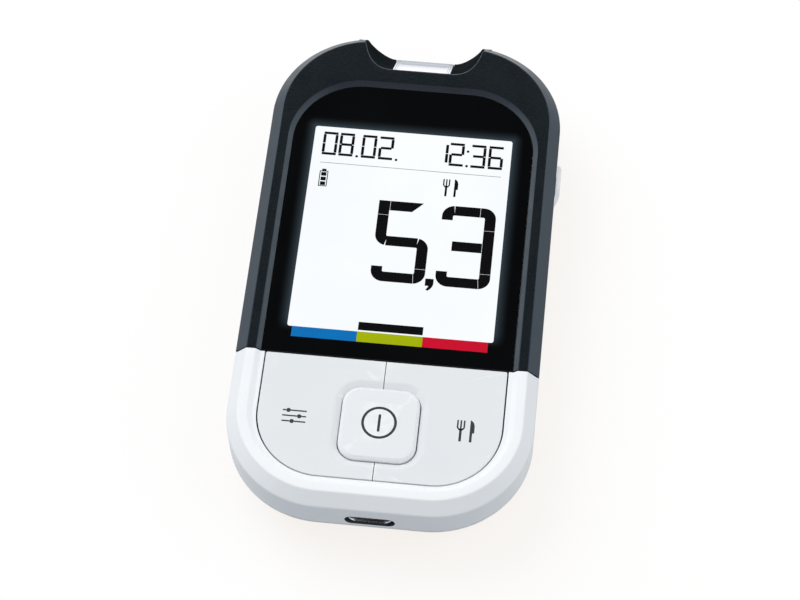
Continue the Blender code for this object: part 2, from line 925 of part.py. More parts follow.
def read_off(z, heights, tapers):
    """Taper of the tub at height z, straight between its stated heights."""
    for k in range(len(heights) - 1):
        if z <= heights[k + 1]:
            share = (z - heights[k]) / (heights[k + 1] - heights[k])
            return tapers[k] + (tapers[k + 1] - tapers[k]) * share
    return tapers[-1]


def rear_housing():
    housing = loft("rear_housing", tub_rings(0, 0, tub_top), parts)
    inside = loft("tub_cavity", tub_rings(wall, tub_floor, tub_top + overrun))
    cut(housing, inside)
    bay_half = door_width / 2 + fit_gap
    bay_low = door_low_y - latch_gap
    bay_high = door_high_y - bay_high_step
    join(housing, box(
        "bay_block",
        (-bay_half - bay_wall, bay_low - bay_wall, tub_floor / 2),
        (bay_half + bay_wall, bay_high + bay_wall + fit_gap, roof_top),
    ))
    hooks = [
        box(
            f"hook_slot_{side}",
            (side * hook_x - hook_width / 2 - fit_gap, bay_high - bay_wall, tub_floor),
            (
                side * hook_x + hook_width / 2 + fit_gap, door_high_y + hook_reach + fit_gap,
                bay_floor + hook_sweep + hook_thickness * 2,
            ),
        )
        for side in (-1, 1)
    ]
    cut(
        housing,
        box("bay", (-bay_half, bay_low, -overrun), (bay_half, bay_high, roof_bottom)),
        box("door_opening", (-bay_half, bay_low, -overrun), (bay_half, door_high_y + fit_gap, tub_floor)),
        *hooks,
    )
    for index, (x, y) in enumerate(screw_places):
        join(housing, cylinder(f"post_{index}", x, y, tub_floor / 2, board_bottom - fit_gap, post_radius))
        head_top = screw_head_depth + screw_head_height + fit_gap
        bore = screw_radius + screw_clearance
        cut(
            housing,
            cylinder(f"head_bore_{index}", x, y, -overrun, head_top, screw_head_radius + screw_clearance),
            cylinder(f"shank_bore_{index}", x, y, 0, crest_z, bore),
        )
    return housing


def battery_door():
    """Door whose hooks pass over the lip; it turns about its lower edge on that side."""
    hinge = bpy.data.objects.new("battery_door_hinge", None)
    parts.objects.link(hinge)
    hinge.location = (0, door_high_y, door_recess)
    half = door_width / 2
    length = door_high_y - door_low_y
    door = box("battery_door", (-half, -length, 0), (half, 0, door_thickness), parts)
    for side in (-1, 1):
        low, high = side * hook_x - hook_width / 2, side * hook_x + hook_width / 2
        hook_low = tub_floor + fit_gap - door_recess
        hook_high = hook_low + hook_thickness
        join(
            door,
            box(f"hook_root_{side}", (low, -hook_root, door_thickness / 2), (high, 0, hook_high)),
            box(f"hook_{side}", (low, -hook_root / 2, hook_low), (high, hook_reach, hook_high)),
        )
    join(door, box(
        "door_latch",
        (-latch_width / 2, -length, door_thickness / 2),
        (latch_width / 2, latch_thickness - length, door_thickness + latch_height),
    ))
    for index in range(grip_count):
        groove = cylinder(
            f"grip_{index}", 0, 0, -grip_length / 2, grip_length / 2, grip_radius,
        )
        groove.rotation_euler = (0, math.radians(90), 0)
        groove.location = (0, -length + grip_pitch * (index + 2), 0)
        groove.parent = hinge
        cut(door, groove)
    for piece in [door] + [step.object for step in door.modifiers]:
        piece.parent = hinge
    return door


def coin_cell(name, side):
    """Coin cell: the can, stepped in at the top round its negative cap."""
    cap = cell_radius - cell_cap_step
    return turned(name, (
        (0, cell_top), (cap, cell_top), (cap, cell_top - cell_cap_height),
        (cell_radius, cell_top - cell_cap_height * 2), (cell_radius, cell_bottom), (0, cell_bottom),
    ), side * cell_pitch / 2, cell_y)


def battery_contact_negative():
    """Strip under the bay's roof, over both cells."""
    return box(
        "battery_contact_negative",
        (-contact_span / 2, cell_y - contact_width / 2, contact_bottom),
        (contact_span / 2, cell_y + contact_width / 2, contact_bottom + contact_sheet), parts,
    )


def battery_contact_positive():
    """Leaf that stands beside both cells, with a foot under the roof."""
    high_y = door_high_y - bay_high_step - fit_gap
    top = contact_bottom + contact_sheet
    leaf = box(
        "battery_contact_positive",
        (-leaf_span / 2, high_y - contact_sheet, top - leaf_height), (leaf_span / 2, high_y, top), parts,
    )
    join(leaf, box(
        "leaf_foot",
        (-contact_width / 2, high_y - contact_width, contact_bottom),
        (contact_width / 2, high_y - contact_sheet / 2, top),
    ))
    return leaf


def case_screw(index, x, y):
    head_low = screw_head_depth
    head_high = head_low + screw_head_height
    return turned(f"screw_{index + 1}", (
        (0, screw_top), (screw_radius, screw_top), (screw_radius, head_high),
        (screw_head_radius, head_high), (screw_head_radius, head_low), (0, head_low),
    ), x, y)


# Finishes: colour, roughness, metallic
finishes = {
    "white_plastic": ((0.87, 0.89, 0.90), 0.42, 0.0),
    "key_plastic": ((0.80, 0.83, 0.85), 0.45, 0.0),
    "black_matte": ((0.012, 0.016, 0.020), 0.62, 0.0),
    "black_gloss": ((0.004, 0.005, 0.007), 0.08, 0.0),
    "display": ((0.88, 0.90, 0.91), 0.15, 0.0),
    "lit_white": ((0.90, 0.90, 0.93), 0.30, 0.0),
    "inner_white": ((0.75, 0.76, 0.74), 0.55, 0.0),
    "inner_black": ((0.02, 0.02, 0.02), 0.50, 0.0),
    "board_green": ((0.01, 0.12, 0.05), 0.45, 0.0),
    "elastomer": ((0.30, 0.30, 0.34), 0.80, 0.0),
    "steel": ((0.56, 0.57, 0.58), 0.30, 1.0),
    "gold_contact": ((0.80, 0.58, 0.24), 0.28, 1.0),
}


def material(name):
    colour, roughness, metallic = finishes[name]
    look = bpy.data.materials.get(name) or bpy.data.materials.new(name)
    look.use_nodes = True
    look.diffuse_color = (*colour, 1)
    shader = look.node_tree.nodes["Principled BSDF"]
    shader.inputs["Base Color"].default_value = (*colour, 1)
    shader.inputs["Roughness"].default_value = roughness
    shader.inputs["Metallic"].default_value = metallic
    return look


def give(name, *pieces):
    for piece in pieces:
        piece.data.materials.clear()
        piece.data.materials.append(material(name))
        piece.data.shade_smooth()
        piece.data.set_sharp_from_angle(angle=math.radians(30))


def build():
    give("white_plastic", front_cover(), rear_housing(), battery_door(), ejector_slide())
    give("black_matte", front_bezel())
    give("black_gloss", display_lens())
    give("display", lcd_glass(), lcd_backlight())
    give("key_plastic", key_half("set_key", -1), key_half("mark_key", 1), power_button())
    give("lit_white", port_light_guide(), port_lamp())
    give("inner_white", lcd_frame(), ejector_pusher())
    give("elastomer", lcd_connector())
    give("board_green", circuit_board())
    give("inner_black", strip_connector(), usb_tongue(), processor())
    give("inner_black", *[
        tact_switch(name, x)
        for name, x in (("set_switch", -key_pad_x), ("power_switch", 0), ("mark_switch", key_pad_x))
    ])
    give("gold_contact", *[strip_contact(index) for index in (1, 2, 3)])
    give("steel", usb_shell(), clock_crystal(), coin_cell("coin_cell_left", -1), coin_cell("coin_cell_right", 1))
    give("steel", battery_contact_negative(), battery_contact_positive())
    give("steel", *[case_screw(index, x, y) for index, (x, y) in enumerate(screw_places)])


build()
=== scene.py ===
# Looks of the blood glucose meter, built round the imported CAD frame.
# Shapes are worked out in millimetres in the frame's own axes and go into the meshes in metres.
import math

import bmesh
import bpy
import numpy as np
from mathutils import Matrix


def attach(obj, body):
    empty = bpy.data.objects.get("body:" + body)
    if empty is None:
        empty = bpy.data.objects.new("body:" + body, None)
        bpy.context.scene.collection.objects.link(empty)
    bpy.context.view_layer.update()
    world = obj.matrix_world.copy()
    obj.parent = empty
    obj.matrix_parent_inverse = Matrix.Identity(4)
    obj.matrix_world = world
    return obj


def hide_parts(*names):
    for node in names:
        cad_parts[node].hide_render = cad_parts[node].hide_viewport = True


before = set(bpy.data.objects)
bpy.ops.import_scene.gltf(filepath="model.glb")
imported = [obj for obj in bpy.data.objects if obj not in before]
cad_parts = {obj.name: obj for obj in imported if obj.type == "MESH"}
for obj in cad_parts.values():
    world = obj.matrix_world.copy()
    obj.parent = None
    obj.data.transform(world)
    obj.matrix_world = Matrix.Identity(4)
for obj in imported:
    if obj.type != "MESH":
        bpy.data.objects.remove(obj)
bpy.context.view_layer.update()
mm = 0.001

# Outline of the case and of the face inside the rim, as in the CAD; faceTip is in degrees
case = {
    "half": 27.0, "end": 49.15, "topRadius": 18.2, "lowRadius": 17.7,
    "faceHalf": 22.39, "faceTop": 37.15, "faceRadius": 12.6, "faceTip": 86.0,
    "seam": -20.65, "gap": 0.125, "wall": 1.6, "tipRound": 0.45, "endBand": 2.0,
}
# Points along each stretch of an outline, and the finer ones that some stretches are picked from
rowCount = {
    "side": 26, "arc": 72, "tip": 8, "scoop": 44, "floor": 14, "end": 20, "lowSide": 14, "lowArc": 64,
    "fineArc": 2000, "fineEnd": 800, "fineWall": 400, "fineFace": 60, "cutter": 60,
}
# Outlines of the scooped notch on the crest and at the parting line: half width and Y of its floor,
# half width of its bend, half width and Y of its mouth
notchTop = np.array((5.8, 40.95, 10.1, 11.2, 47.05))
notchLow = np.array((5.6, 49.15, 8.2, 11.2, 57.0))
lining = {"thick": 1.7, "gap": 0.43}
heights = {
    "floor": 16.23, "crest": 17.0, "shoulder": 14.55, "deck": 14.25, "deckLow": 12.85,
    "rimLow": 14.9, "coverLow": 8.6, "tubTop": 8.3, "lensTop": 16.18, "keyLow": 14.88,
    "slot": 11.4, "socket": 10.6,
}
meshing = {"merge": 2e-7, "collapsed": 1e-7, "sharp": 35, "cornerShare": 0.45, "shortest": 1e-9}


# Points spread evenly by length along an open path
def resample(path, count):
    steps = np.linalg.norm(np.diff(path, axis=0), axis=1)
    travelled = np.concatenate(([0.0], np.cumsum(steps)))
    wanted = np.linspace(0, travelled[-1], count)
    return np.stack([np.interp(wanted, travelled, column) for column in path.T], axis=1)


# Quadratic curve: (1 - t)^2 first + 2 t (1 - t) middle + t^2 last
def curveThrough(first, middle, last, t):
    t = np.asarray(t)[..., None]
    return (1 - t) ** 2 * first + 2 * t * (1 - t) * middle + t * t * last


# Circular arc: centre + radius (cos angle, sin angle)
def arcPoints(x, y, radius, start, end, count):
    angle = np.linspace(start, end, count)
    return np.stack([x + radius * np.cos(angle), y + radius * np.sin(angle)], axis=1)


# Straight stretch: start + share (end - start)
def line(start, end, count):
    return np.linspace(start, end, count)


# Points of the scooped wall: at each height a quadratic curve from the floor's corner to the mouth,
# whose corners run straight from the low outline to the top one; grown, it is the lining's back
def scoopPoints(t, z, grow=0.0):
    share = (z - heights["coverLow"]) / (heights["crest"] - heights["coverLow"])
    floorHalf, floorY, bend, mouthHalf, mouthY = (
        low + (top - low) * share for low, top in zip(notchLow, notchTop)
    )
    floorY = floorY - grow
    near, middle, far = (1 - t) ** 2, 2 * t * (1 - t), t * t
    x = near * (floorHalf + grow / 2) + middle * (bend + grow) + far * (mouthHalf + grow)
    y = (near + middle) * floorY + far * mouthY
    return np.column_stack([x, y, np.broadcast_to(z, np.shape(x))])


# Where the scooped wall leaves through the end wall, from a height down to its floor's corner. Its Y
# is floor + t^2 (mouth - floor), which gives the height share for each t.
def scoopExit(z, grow=0.0):
    h, drop, tall = heights, notchLow[1] - notchTop[1], heights["crest"] - heights["coverLow"]
    rise, turn = notchLow[4] - notchLow[1] + grow, notchLow[4] - notchTop[4] - drop
    share = (z - h["coverLow"]) / tall
    first = math.sqrt((drop * share + grow) / (rise - turn * share))
    t = np.linspace(first, 0, rowCount["fineWall"])
    return scoopPoints(t, h["coverLow"] + tall * (t * t * rise - grow) / (drop + turn * t * t), grow)


# Right half of an outline above the seam: straight side, then an arc up to its tip angle
def plainHalf(half, top, radius, tip=math.pi / 2):
    x, y = half - radius, top - radius
    side = line((half, case["seam"] + case["gap"]), (half, y), rowCount["side"])
    return np.vstack([side[:-1], arcPoints(x, y, radius, 0, tip, rowCount["arc"])])


# A right half carried on straight to the middle line
def toMiddle(half):
    return np.vstack([half, line(half[-1], (0, half[-1, 1]), rowCount["end"] + 1)[1:]])


# Right half of the case outline above the seam, inset evenly
def caseHalf(inset):
    return toMiddle(plainHalf(case["half"] - inset, case["end"] - inset, case["topRadius"] - inset))


# The same outline with the notch: straight side, arc, rounded horn tip where it meets the notch, the
# notch's wall at one height, or its exit through the end wall, and its floor up to the middle line
def outerHalf(inset, z, wall, exits=False):
    radius, end, flat = case["topRadius"], case["end"] - inset, case["half"] - inset
    x, y = case["half"] - radius, case["end"] - radius
    around = np.vstack([
        arcPoints(x, y, radius - inset, 0, math.pi / 2, rowCount["fineArc"]),
        line((x, end), (0, end), rowCount["fineEnd"])[1:],
    ])
    if exits:
        around = around[(around[:, 0] > wall[0, 0]) | (around[:, 1] < end - case["endBand"])]
    else:
        reach = np.interp(around[:, 1], wall[::-1, 1], wall[::-1, 0], left=-1.0)
        around = around[: int(np.argmax(around[:, 0] <= reach)) + 1]
        wall = wall[wall[:, 1] < around[-1, 1]]
    around = lift(around, z)
    tip = around[-1]
    around = around[np.linalg.norm(around - tip, axis=1) >= case["tipRound"]]
    wall = wall[np.linalg.norm(wall - tip, axis=1) >= case["tipRound"]]
    share = np.linspace(0, 1, rowCount["tip"] + 2)[1:-1]
    side = line((flat, case["seam"] + case["gap"], z), (flat, y, z), rowCount["side"])
    return np.vstack([
        side[:-1], resample(around, rowCount["arc"]),
        curveThrough(around[-1], tip, wall[0], share), resample(wall, rowCount["scoop"]),
        line(wall[-1], wall[-1] * (0, 1, 1), rowCount["floor"] + 1)[1:],
    ])


# Right half of the face outline above the seam, grown evenly, row for row beside outerHalf
def faceHalf(grow):
    radius, end, floorHalf = case["faceRadius"] + grow, case["faceTop"] + grow, notchTop[0]
    x, tip = case["faceHalf"] + grow - radius, math.radians(case["faceTip"])
    arc = arcPoints(x, end - radius, radius, tip, math.pi / 2, rowCount["fineFace"])
    rest = resample(np.vstack([arc, [(floorHalf, end)]]), rowCount["tip"] + rowCount["scoop"] + 1)
    return np.vstack([
        plainHalf(case["faceHalf"] + grow, end, radius, tip), rest[1:],
        line((floorHalf, end), (0, end), rowCount["floor"] + 1)[1:],
    ])


# A right half that ends on the middle line, and its mirror image back down the left
def mirrored(half):
    return np.vstack([half, (half * ((-1, 1, 1)[: half.shape[1]]))[-2::-1]])


# Outline below the seam, inset evenly, from its left end round the bottom to its right end; drop
# takes its bottom further down and tightens its corners as much
def lowLoop(inset, drop=0.0):
    half, radius = case["half"] - inset, case["lowRadius"] - inset - drop
    x, y = half - radius, radius + inset - drop - case["end"]
    count = rowCount["lowSide"]
    right = np.vstack([
        line((half, case["seam"] - case["gap"]), (half, y), count)[:-1],
        arcPoints(x, y, radius, 0, -math.pi / 2, rowCount["lowArc"]),
        line((x, y - radius), (0, y - radius), count)[1:],
    ])
    return mirrored(right)[::-1]


# Plan points with a height
def lift(path, z):
    return np.column_stack([path, np.broadcast_to(z, len(path))])


# Profile carried along a path: rails has one row of corner points for each place on the path. A
# corner with a radius becomes a quadratic curve that starts and ends that far from the corner,
# and rows adds evenly spaced points on the span after a corner.
def filleted(rails, radii, steps=5, rows=()):
    count, starts, ends, parts = rails.shape[1], [], [], []
    for k in range(count):
        for other, found in ((k - 1, starts), ((k + 1) % count, ends)):
            away = rails[:, other] - rails[:, k]
            length = np.linalg.norm(away, axis=1, keepdims=True)
            length = np.maximum(length, meshing["shortest"])
            cut = np.minimum(radii[k], length * meshing["cornerShare"])
            found.append(rails[:, k] + away / length * cut)
    for k in range(count):
        t = np.linspace(0, 1, steps + 1)[None] if radii[k] else np.zeros((1, 1))
        parts.append(curveThrough(starts[k][:, None], rails[:, k][:, None], ends[k][:, None], t))
        extra = dict(rows).get(k, 0)
        share = (np.arange(1, extra + 1) / (extra + 1))[None, :, None]
        parts.append(ends[k][:, None] * (1 - share) + starts[(k + 1) % count][:, None] * share)
    return np.concatenate(parts, axis=1)


# Points and faces of a grid: path rows by profile points, either way round closed or filled
def gridPart(grid, closedPath=True, closedProfile=True):
    countU, countV = grid.shape[:2]
    u = np.arange(countU if closedPath else countU - 1)[:, None]
    v = np.arange(countV if closedProfile else countV - 1)[None]
    nextU, nextV = (u + 1) % countU, (v + 1) % countV
    corners = (u * countV + v, nextU * countV + v, nextU * countV + nextV, u * countV + nextV)
    faces = np.stack(np.broadcast_arrays(*corners), axis=-1).reshape(-1, 4).tolist()
    total = countU * countV
    if not closedPath:
        faces += [list(range(countV)), list(range(total - countV, total))]
    if not closedProfile:
        faces += [list(range(0, total, countV)), list(range(countV - 1, total, countV))]
    return grid.reshape(-1, 3), faces


# Flat outline of constant thickness
def prismPart(outline, low, high):
    grid = np.stack([lift(outline, low), lift(outline, high)], axis=1)
    return gridPart(grid, True, False)


# Box between two corners: a ring in Y and Z at its lowest and highest X
def boxPart(low, high):
    ring = [(low[1], low[2]), (high[1], low[2]), (high[1], high[2]), (low[1], high[2])]
    return gridPart(np.array([[(x, y, z) for y, z in ring] for x in (low[0], high[0])]), False)


# Round part about an upright axis: the profile's radius times (cos angle, sin angle)
def turnedPart(profile, x, y, count=48):
    profile = np.array(profile, float)
    angle = np.linspace(0, 2 * math.pi, count, endpoint=False)[:, None]
    grid = np.stack([
        x + profile[None, :, 0] * np.cos(angle), y + profile[None, :, 0] * np.sin(angle),
        np.broadcast_to(profile[None, :, 1], (count, len(profile))),
    ], axis=-1)
    return gridPart(grid, True, False)


# Mesh from parts in millimetres: doubles merged, collapsed faces dropped, faces out
def meshFrom(name, parts):
    points, faces, start = [], [], 0
    for partPoints, partFaces in parts:
        points.append(partPoints)
        faces += [[index + start for index in face] for face in partFaces]
        start += len(partPoints)
    mesh = bpy.data.meshes.new(name)
    mesh.from_pydata((np.vstack(points) * mm).tolist(), [], faces)
    shape = bmesh.new()
    shape.from_mesh(mesh)
    bmesh.ops.remove_doubles(shape, verts=shape.verts, dist=meshing["merge"])
    bmesh.ops.dissolve_degenerate(shape, edges=shape.edges, dist=meshing["collapsed"])
    bmesh.ops.recalc_face_normals(shape, faces=shape.faces)
    shape.to_mesh(mesh)
    shape.free()
    return mesh


# Smooth shading with kept creases, weighted so that flat faces stay flat beside small rounds
def finishSurface(piece, sharp=meshing["sharp"]):
    piece.data.shade_smooth()
    piece.data.set_sharp_from_angle(angle=math.radians(sharp))
    even = piece.modifiers.new("even shading", "WEIGHTED_NORMAL")
    even.keep_sharp, even.weight = True, 60


# A piece from its parts, finished, riding on a body and standing for CAD nodes where it says so
def addPiece(name, parts, body, material, replaces=(), sharp=meshing["sharp"]):
    piece = bpy.data.objects.new(name, meshFrom(name, parts))
    bpy.context.scene.collection.objects.link(piece)
    piece.data.materials.append(material)
    finishSurface(piece, sharp)
    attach(piece, body)
    if replaces:
        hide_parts(*replaces)
    return piece


# Takes closed shapes out of a piece for good
def carve(piece, *parts):
    piece.modifiers.remove(piece.modifiers["even shading"])
    for part in parts:
        cutter = bpy.data.objects.new("cutter", meshFrom("cutter", [part]))
        bpy.context.scene.collection.objects.link(cutter)
        step = piece.modifiers.new("carve", "BOOLEAN")
        step.operation, step.solver, step.object = "DIFFERENCE", "EXACT", cutter
        bpy.context.view_layer.update()
        ready = piece.evaluated_get(bpy.context.evaluated_depsgraph_get())
        carved = bpy.data.meshes.new_from_object(ready)
        piece.modifiers.remove(step)
        bpy.data.objects.remove(cutter, do_unlink=True)
        piece.data = carved
    finishSurface(piece)


# Closed rounded rectangle about X = 0, anticlockwise from the middle of its bottom side: four arcs
# with evenly spaced points on the sides between them
def roundedLoop(half, low, high, lowRadius, highRadius, corner=12, side=6):
    corners = (
        (half - lowRadius, low + lowRadius, lowRadius, -90),
        (half - highRadius, high - highRadius, highRadius, 0),
        (highRadius - half, high - highRadius, highRadius, 90),
        (lowRadius - half, low + lowRadius, lowRadius, 180),
    )
    arcs = [
        arcPoints(x, y, radius, math.radians(start), math.radians(start + 90), corner)
        for x, y, radius, start in corners
    ]
    share = np.linspace(0, 1, side + 2)[1:-1, None]
    ends = [np.array([[0.0, low]])] + [arc[-1:] for arc in arcs]
    starts = [arc[:1] for arc in arcs] + [ends[0]]
    parts = [ends[0]]
    for k in range(5):
        parts.append(ends[k] * (1 - share) + starts[k] * share)
        if k < 4:
            parts.append(arcs[k])
    return np.vstack(parts)


# A colour as the shader's sockets take it
def rgb(colour):
    return (*colour, 1.0)


# Adds nodes and links to one tree
class Nodes:
    def __init__(self, tree):
        self.tree = tree

    # New node with its settings and its inputs
    def add(self, kind, inputs=(), **values):
        node = self.tree.nodes.new(kind)
        for key, value in values.items():
            setattr(node, key, value)
        for key, value in dict(inputs).items():
            self.feed(node.inputs[key], value)
        return node

    # A socket is linked, anything else becomes the input's own value
    def feed(self, socket, value):
        if isinstance(value, bpy.types.NodeSocket):
            self.tree.links.new(value, socket)
        else:
            socket.default_value = value

    # One operation on two values
    def math(self, operation, first, second=0.0, clamp=False):
        inputs = {0: first, 1: second}
        return self.add("ShaderNodeMath", inputs, operation=operation, use_clamp=clamp).outputs[0]

    # Two colours mixed by a share; a plain colour is three numbers
    def mix(self, share, first, second):
        first, second = (
            value if isinstance(value, bpy.types.NodeSocket) else rgb(value) for value in (first, second)
        )
        inputs = {0: share, 6: first, 7: second}
        return self.add("ShaderNodeMix", inputs, data_type="RGBA").outputs[2]

    # Value taken from one span to another
    def span(self, value, low, high, toLow=0.0, toHigh=1.0, smooth=False):
        kind = "SMOOTHSTEP" if smooth else "LINEAR"
        inputs = {0: value, 1: low, 2: high, 3: toLow, 4: toHigh}
        return self.add("ShaderNodeMapRange", inputs, interpolation_type=kind).outputs[0]

    # The same from a span of lengths in millimetres
    def band(self, value, low, high, toLow=0.0, toHigh=1.0, smooth=False):
        return self.span(value, low * mm, high * mm, toLow, toHigh, smooth)

    # The three coordinates of a point on the piece
    def place(self):
        point = self.add("ShaderNodeTexCoord").outputs["Object"]
        return self.add("ShaderNodeSeparateXYZ", {0: point}).outputs


# Node group with number inputs, which start at the values given, and number outputs
def newGroup(name, inputs, outputs):
    group = bpy.data.node_groups.new(name, "ShaderNodeTree")
    kind = "NodeSocketFloat"
    for title, start in inputs:
        group.interface.new_socket(title, in_out="INPUT", socket_type=kind).default_value = start
    for title in outputs:
        group.interface.new_socket(title, in_out="OUTPUT", socket_type=kind)
    kit = Nodes(group)
    return group, kit, kit.add("NodeGroupInput"), kit.add("NodeGroupOutput")


grainLook = {"Scale": 4000.0, "Spread": 120.0, "fineDetail": 3.0, "broadDetail": 4.0,
             "fine": (0.35, 0.65), "broad": (0.3, 0.7)}
wearLook = {"Reach": 0.06, "Breaks": 900.0, "detail": 2.0, "level": 0.5, "breaks": (0.35, 0.6, 0.2, 1.0)}


# Moulded grain: fine noise for the bump, broad noise for tone and gloss
def grainGroup():
    g = grainLook
    starts = [(title, g[title]) for title in ("Scale", "Spread")]
    group, kit, given, result = newGroup("moulded grain", starts, ("Height", "Tone"))
    place = kit.add("ShaderNodeTexCoord").outputs["Object"]
    for title, size, detail, limits in (
        ("Height", "Scale", g["fineDetail"], g["fine"]), ("Tone", "Spread", g["broadDetail"], g["broad"]),
    ):
        inputs = {"Vector": place, "Scale": given.outputs[size], "Detail": detail}
        noise = kit.add("ShaderNodeTexNoise", inputs).outputs["Fac"]
        kit.feed(result.inputs[title], kit.span(noise, *limits, smooth=True))
    return group


# Handling wear: raised edges, broken up by noise
def wearGroup():
    w = wearLook
    starts = [(title, w[title]) for title in ("Reach", "Breaks")]
    group, kit, given, result = newGroup("edge wear", starts, ("Mask",))
    pointed = kit.add("ShaderNodeNewGeometry").outputs["Pointiness"]
    edge = kit.math("DIVIDE", kit.math("SUBTRACT", pointed, w["level"]), given.outputs["Reach"], clamp=True)
    place = kit.add("ShaderNodeTexCoord").outputs["Object"]
    inputs = {"Vector": place, "Scale": given.outputs["Breaks"], "Detail": w["detail"]}
    breaks = kit.span(kit.add("ShaderNodeTexNoise", inputs).outputs["Fac"], *w["breaks"])
    kit.feed(result.inputs["Mask"], kit.math("MULTIPLY", edge, breaks))
    return group


grain, wear = grainGroup(), wearGroup()


# Node material with its tree's kit and its main shader
def newMaterial(name):
    material = bpy.data.materials.new(name)
    material.use_nodes = True
    kit = Nodes(material.node_tree)
    return material, kit, material.node_tree.nodes["Principled BSDF"]


# Values that are the same all over a surface, on the shader's own sockets
def setFixed(shader, values):
    for socket, value in values.items():
        shader.inputs[socket].default_value = value


# Grain marks of a given spread, with gloss that wanders between two values where they are given
def grainMarks(kit, shader, spread, rough=None, scale=grainLook["Scale"]):
    marks = kit.add("ShaderNodeGroup", node_tree=grain)
    marks.inputs["Scale"].default_value, marks.inputs["Spread"].default_value = scale, spread
    if rough:
        kit.feed(shader.inputs["Roughness"], kit.span(marks.outputs["Tone"], 0.0, 1.0, *rough))
    return marks


plainSurface = {"scale": 4000.0, "bump": 0.3, "depth": 0.01, "fixed": {}}


# Moulded, painted or rolled surface: two tones of one colour, paler or darker at its edges, gloss
# that wanders between two values, and a fine grain as bump
def surface(name, look):
    look = {**plainSurface, **look}
    material, kit, shader = newMaterial(name)
    marks = grainMarks(kit, shader, look["spread"], look["rough"], look["scale"])
    edges = kit.add("ShaderNodeGroup", node_tree=wear)
    tone = kit.mix(marks.outputs["Tone"], look["colour"], look["tone"])
    kit.feed(shader.inputs["Base Color"], kit.mix(edges.outputs["Mask"], tone, look["edge"]))
    bump = kit.add("ShaderNodeBump", {"Strength": look["bump"], "Distance": look["depth"] * mm})
    kit.feed(bump.inputs["Height"], marks.outputs["Height"])
    kit.feed(shader.inputs["Normal"], bump.outputs["Normal"])
    setFixed(shader, look["fixed"])
    return material


whiteShell = surface("white shell", {
    "colour": (0.925, 0.948, 0.970), "tone": (0.910, 0.934, 0.958), "edge": (0.95, 0.965, 0.98),
    "rough": (0.30, 0.38), "scale": 5200.0, "spread": 90.0, "bump": 0.12, "depth": 0.006,
    "fixed": {"Specular IOR Level": 0.45},
})
keyWhite = surface("key white", {
    "colour": (0.800, 0.830, 0.850), "tone": (0.785, 0.815, 0.838), "edge": (0.87, 0.89, 0.90),
    "rough": (0.42, 0.50), "scale": 6000.0, "spread": 70.0, "bump": 0.16, "depth": 0.006,
})
buttonWhite = surface("button white", {
    "colour": (0.835, 0.865, 0.885), "tone": (0.822, 0.852, 0.874), "edge": (0.90, 0.92, 0.93),
    "rough": (0.36, 0.44), "scale": 6000.0, "spread": 70.0, "bump": 0.12, "depth": 0.006,
})
innerWhite = surface("inner white", {
    "colour": (0.70, 0.71, 0.70), "tone": (0.66, 0.67, 0.66), "edge": (0.78, 0.78, 0.77),
    "rough": (0.48, 0.60), "scale": 3800.0, "spread": 140.0, "bump": 0.25, "depth": 0.01,
})
# Arch: its shape, then its colours by the way a face turns, with painted reflection on its sloped faces,
# then its gloss and texture
archLook = {
    "slopeRun": 0.83, "crestInset": 2.1, "underInset": 1.0, "edgeLand": 0.15, "wallReach": 1.1,
    "footRound": 0.06, "round": 0.24, "landRound": 0.08, "rowsAfter": ((1, 5), (2, 8)),
    "portBox": ((-5.65, 41.05, 4.0), (5.65, 51.0, 18.0)),
    "underBox": ((-20.0, 40.0, 4.0), (20.0, 51.0, heights["coverLow"])),
    "crest": ((0.0060, 0.0090, 0.0120), (0.0085, 0.0122, 0.0160)),
    # Painted reflection: slate on sloped faces, paler where they face the window, greyer on the inner slope
    # above it
    "slopeSheen": ((0.017, 0.026, 0.042), (0.020, 0.030, 0.047)),
    "inner": (0.045, 0.055, 0.068), "above": (0.030, 0.032, 0.044),
    "recess": (0.010, 0.014, 0.015), "recessTone": (0.016, 0.021, 0.022),
    "levelFrom": (0.93, 0.985), "innerSheenFrom": (-0.15, -0.5), "aboveFrom": (-0.1, -0.5),
    "aboveBand": (30.0, 36.0), "scale": 2400.0, "spread": 260.0, "rough": (0.38, 0.5),
    "slopeGloss": 0.1, "bump": 0.6, "slopeBump": 0.3, "depth": 0.045,
    "fixed": {"Specular Tint": rgb((0.72, 0.92, 1.0)), "Specular IOR Level": 0.36},
}


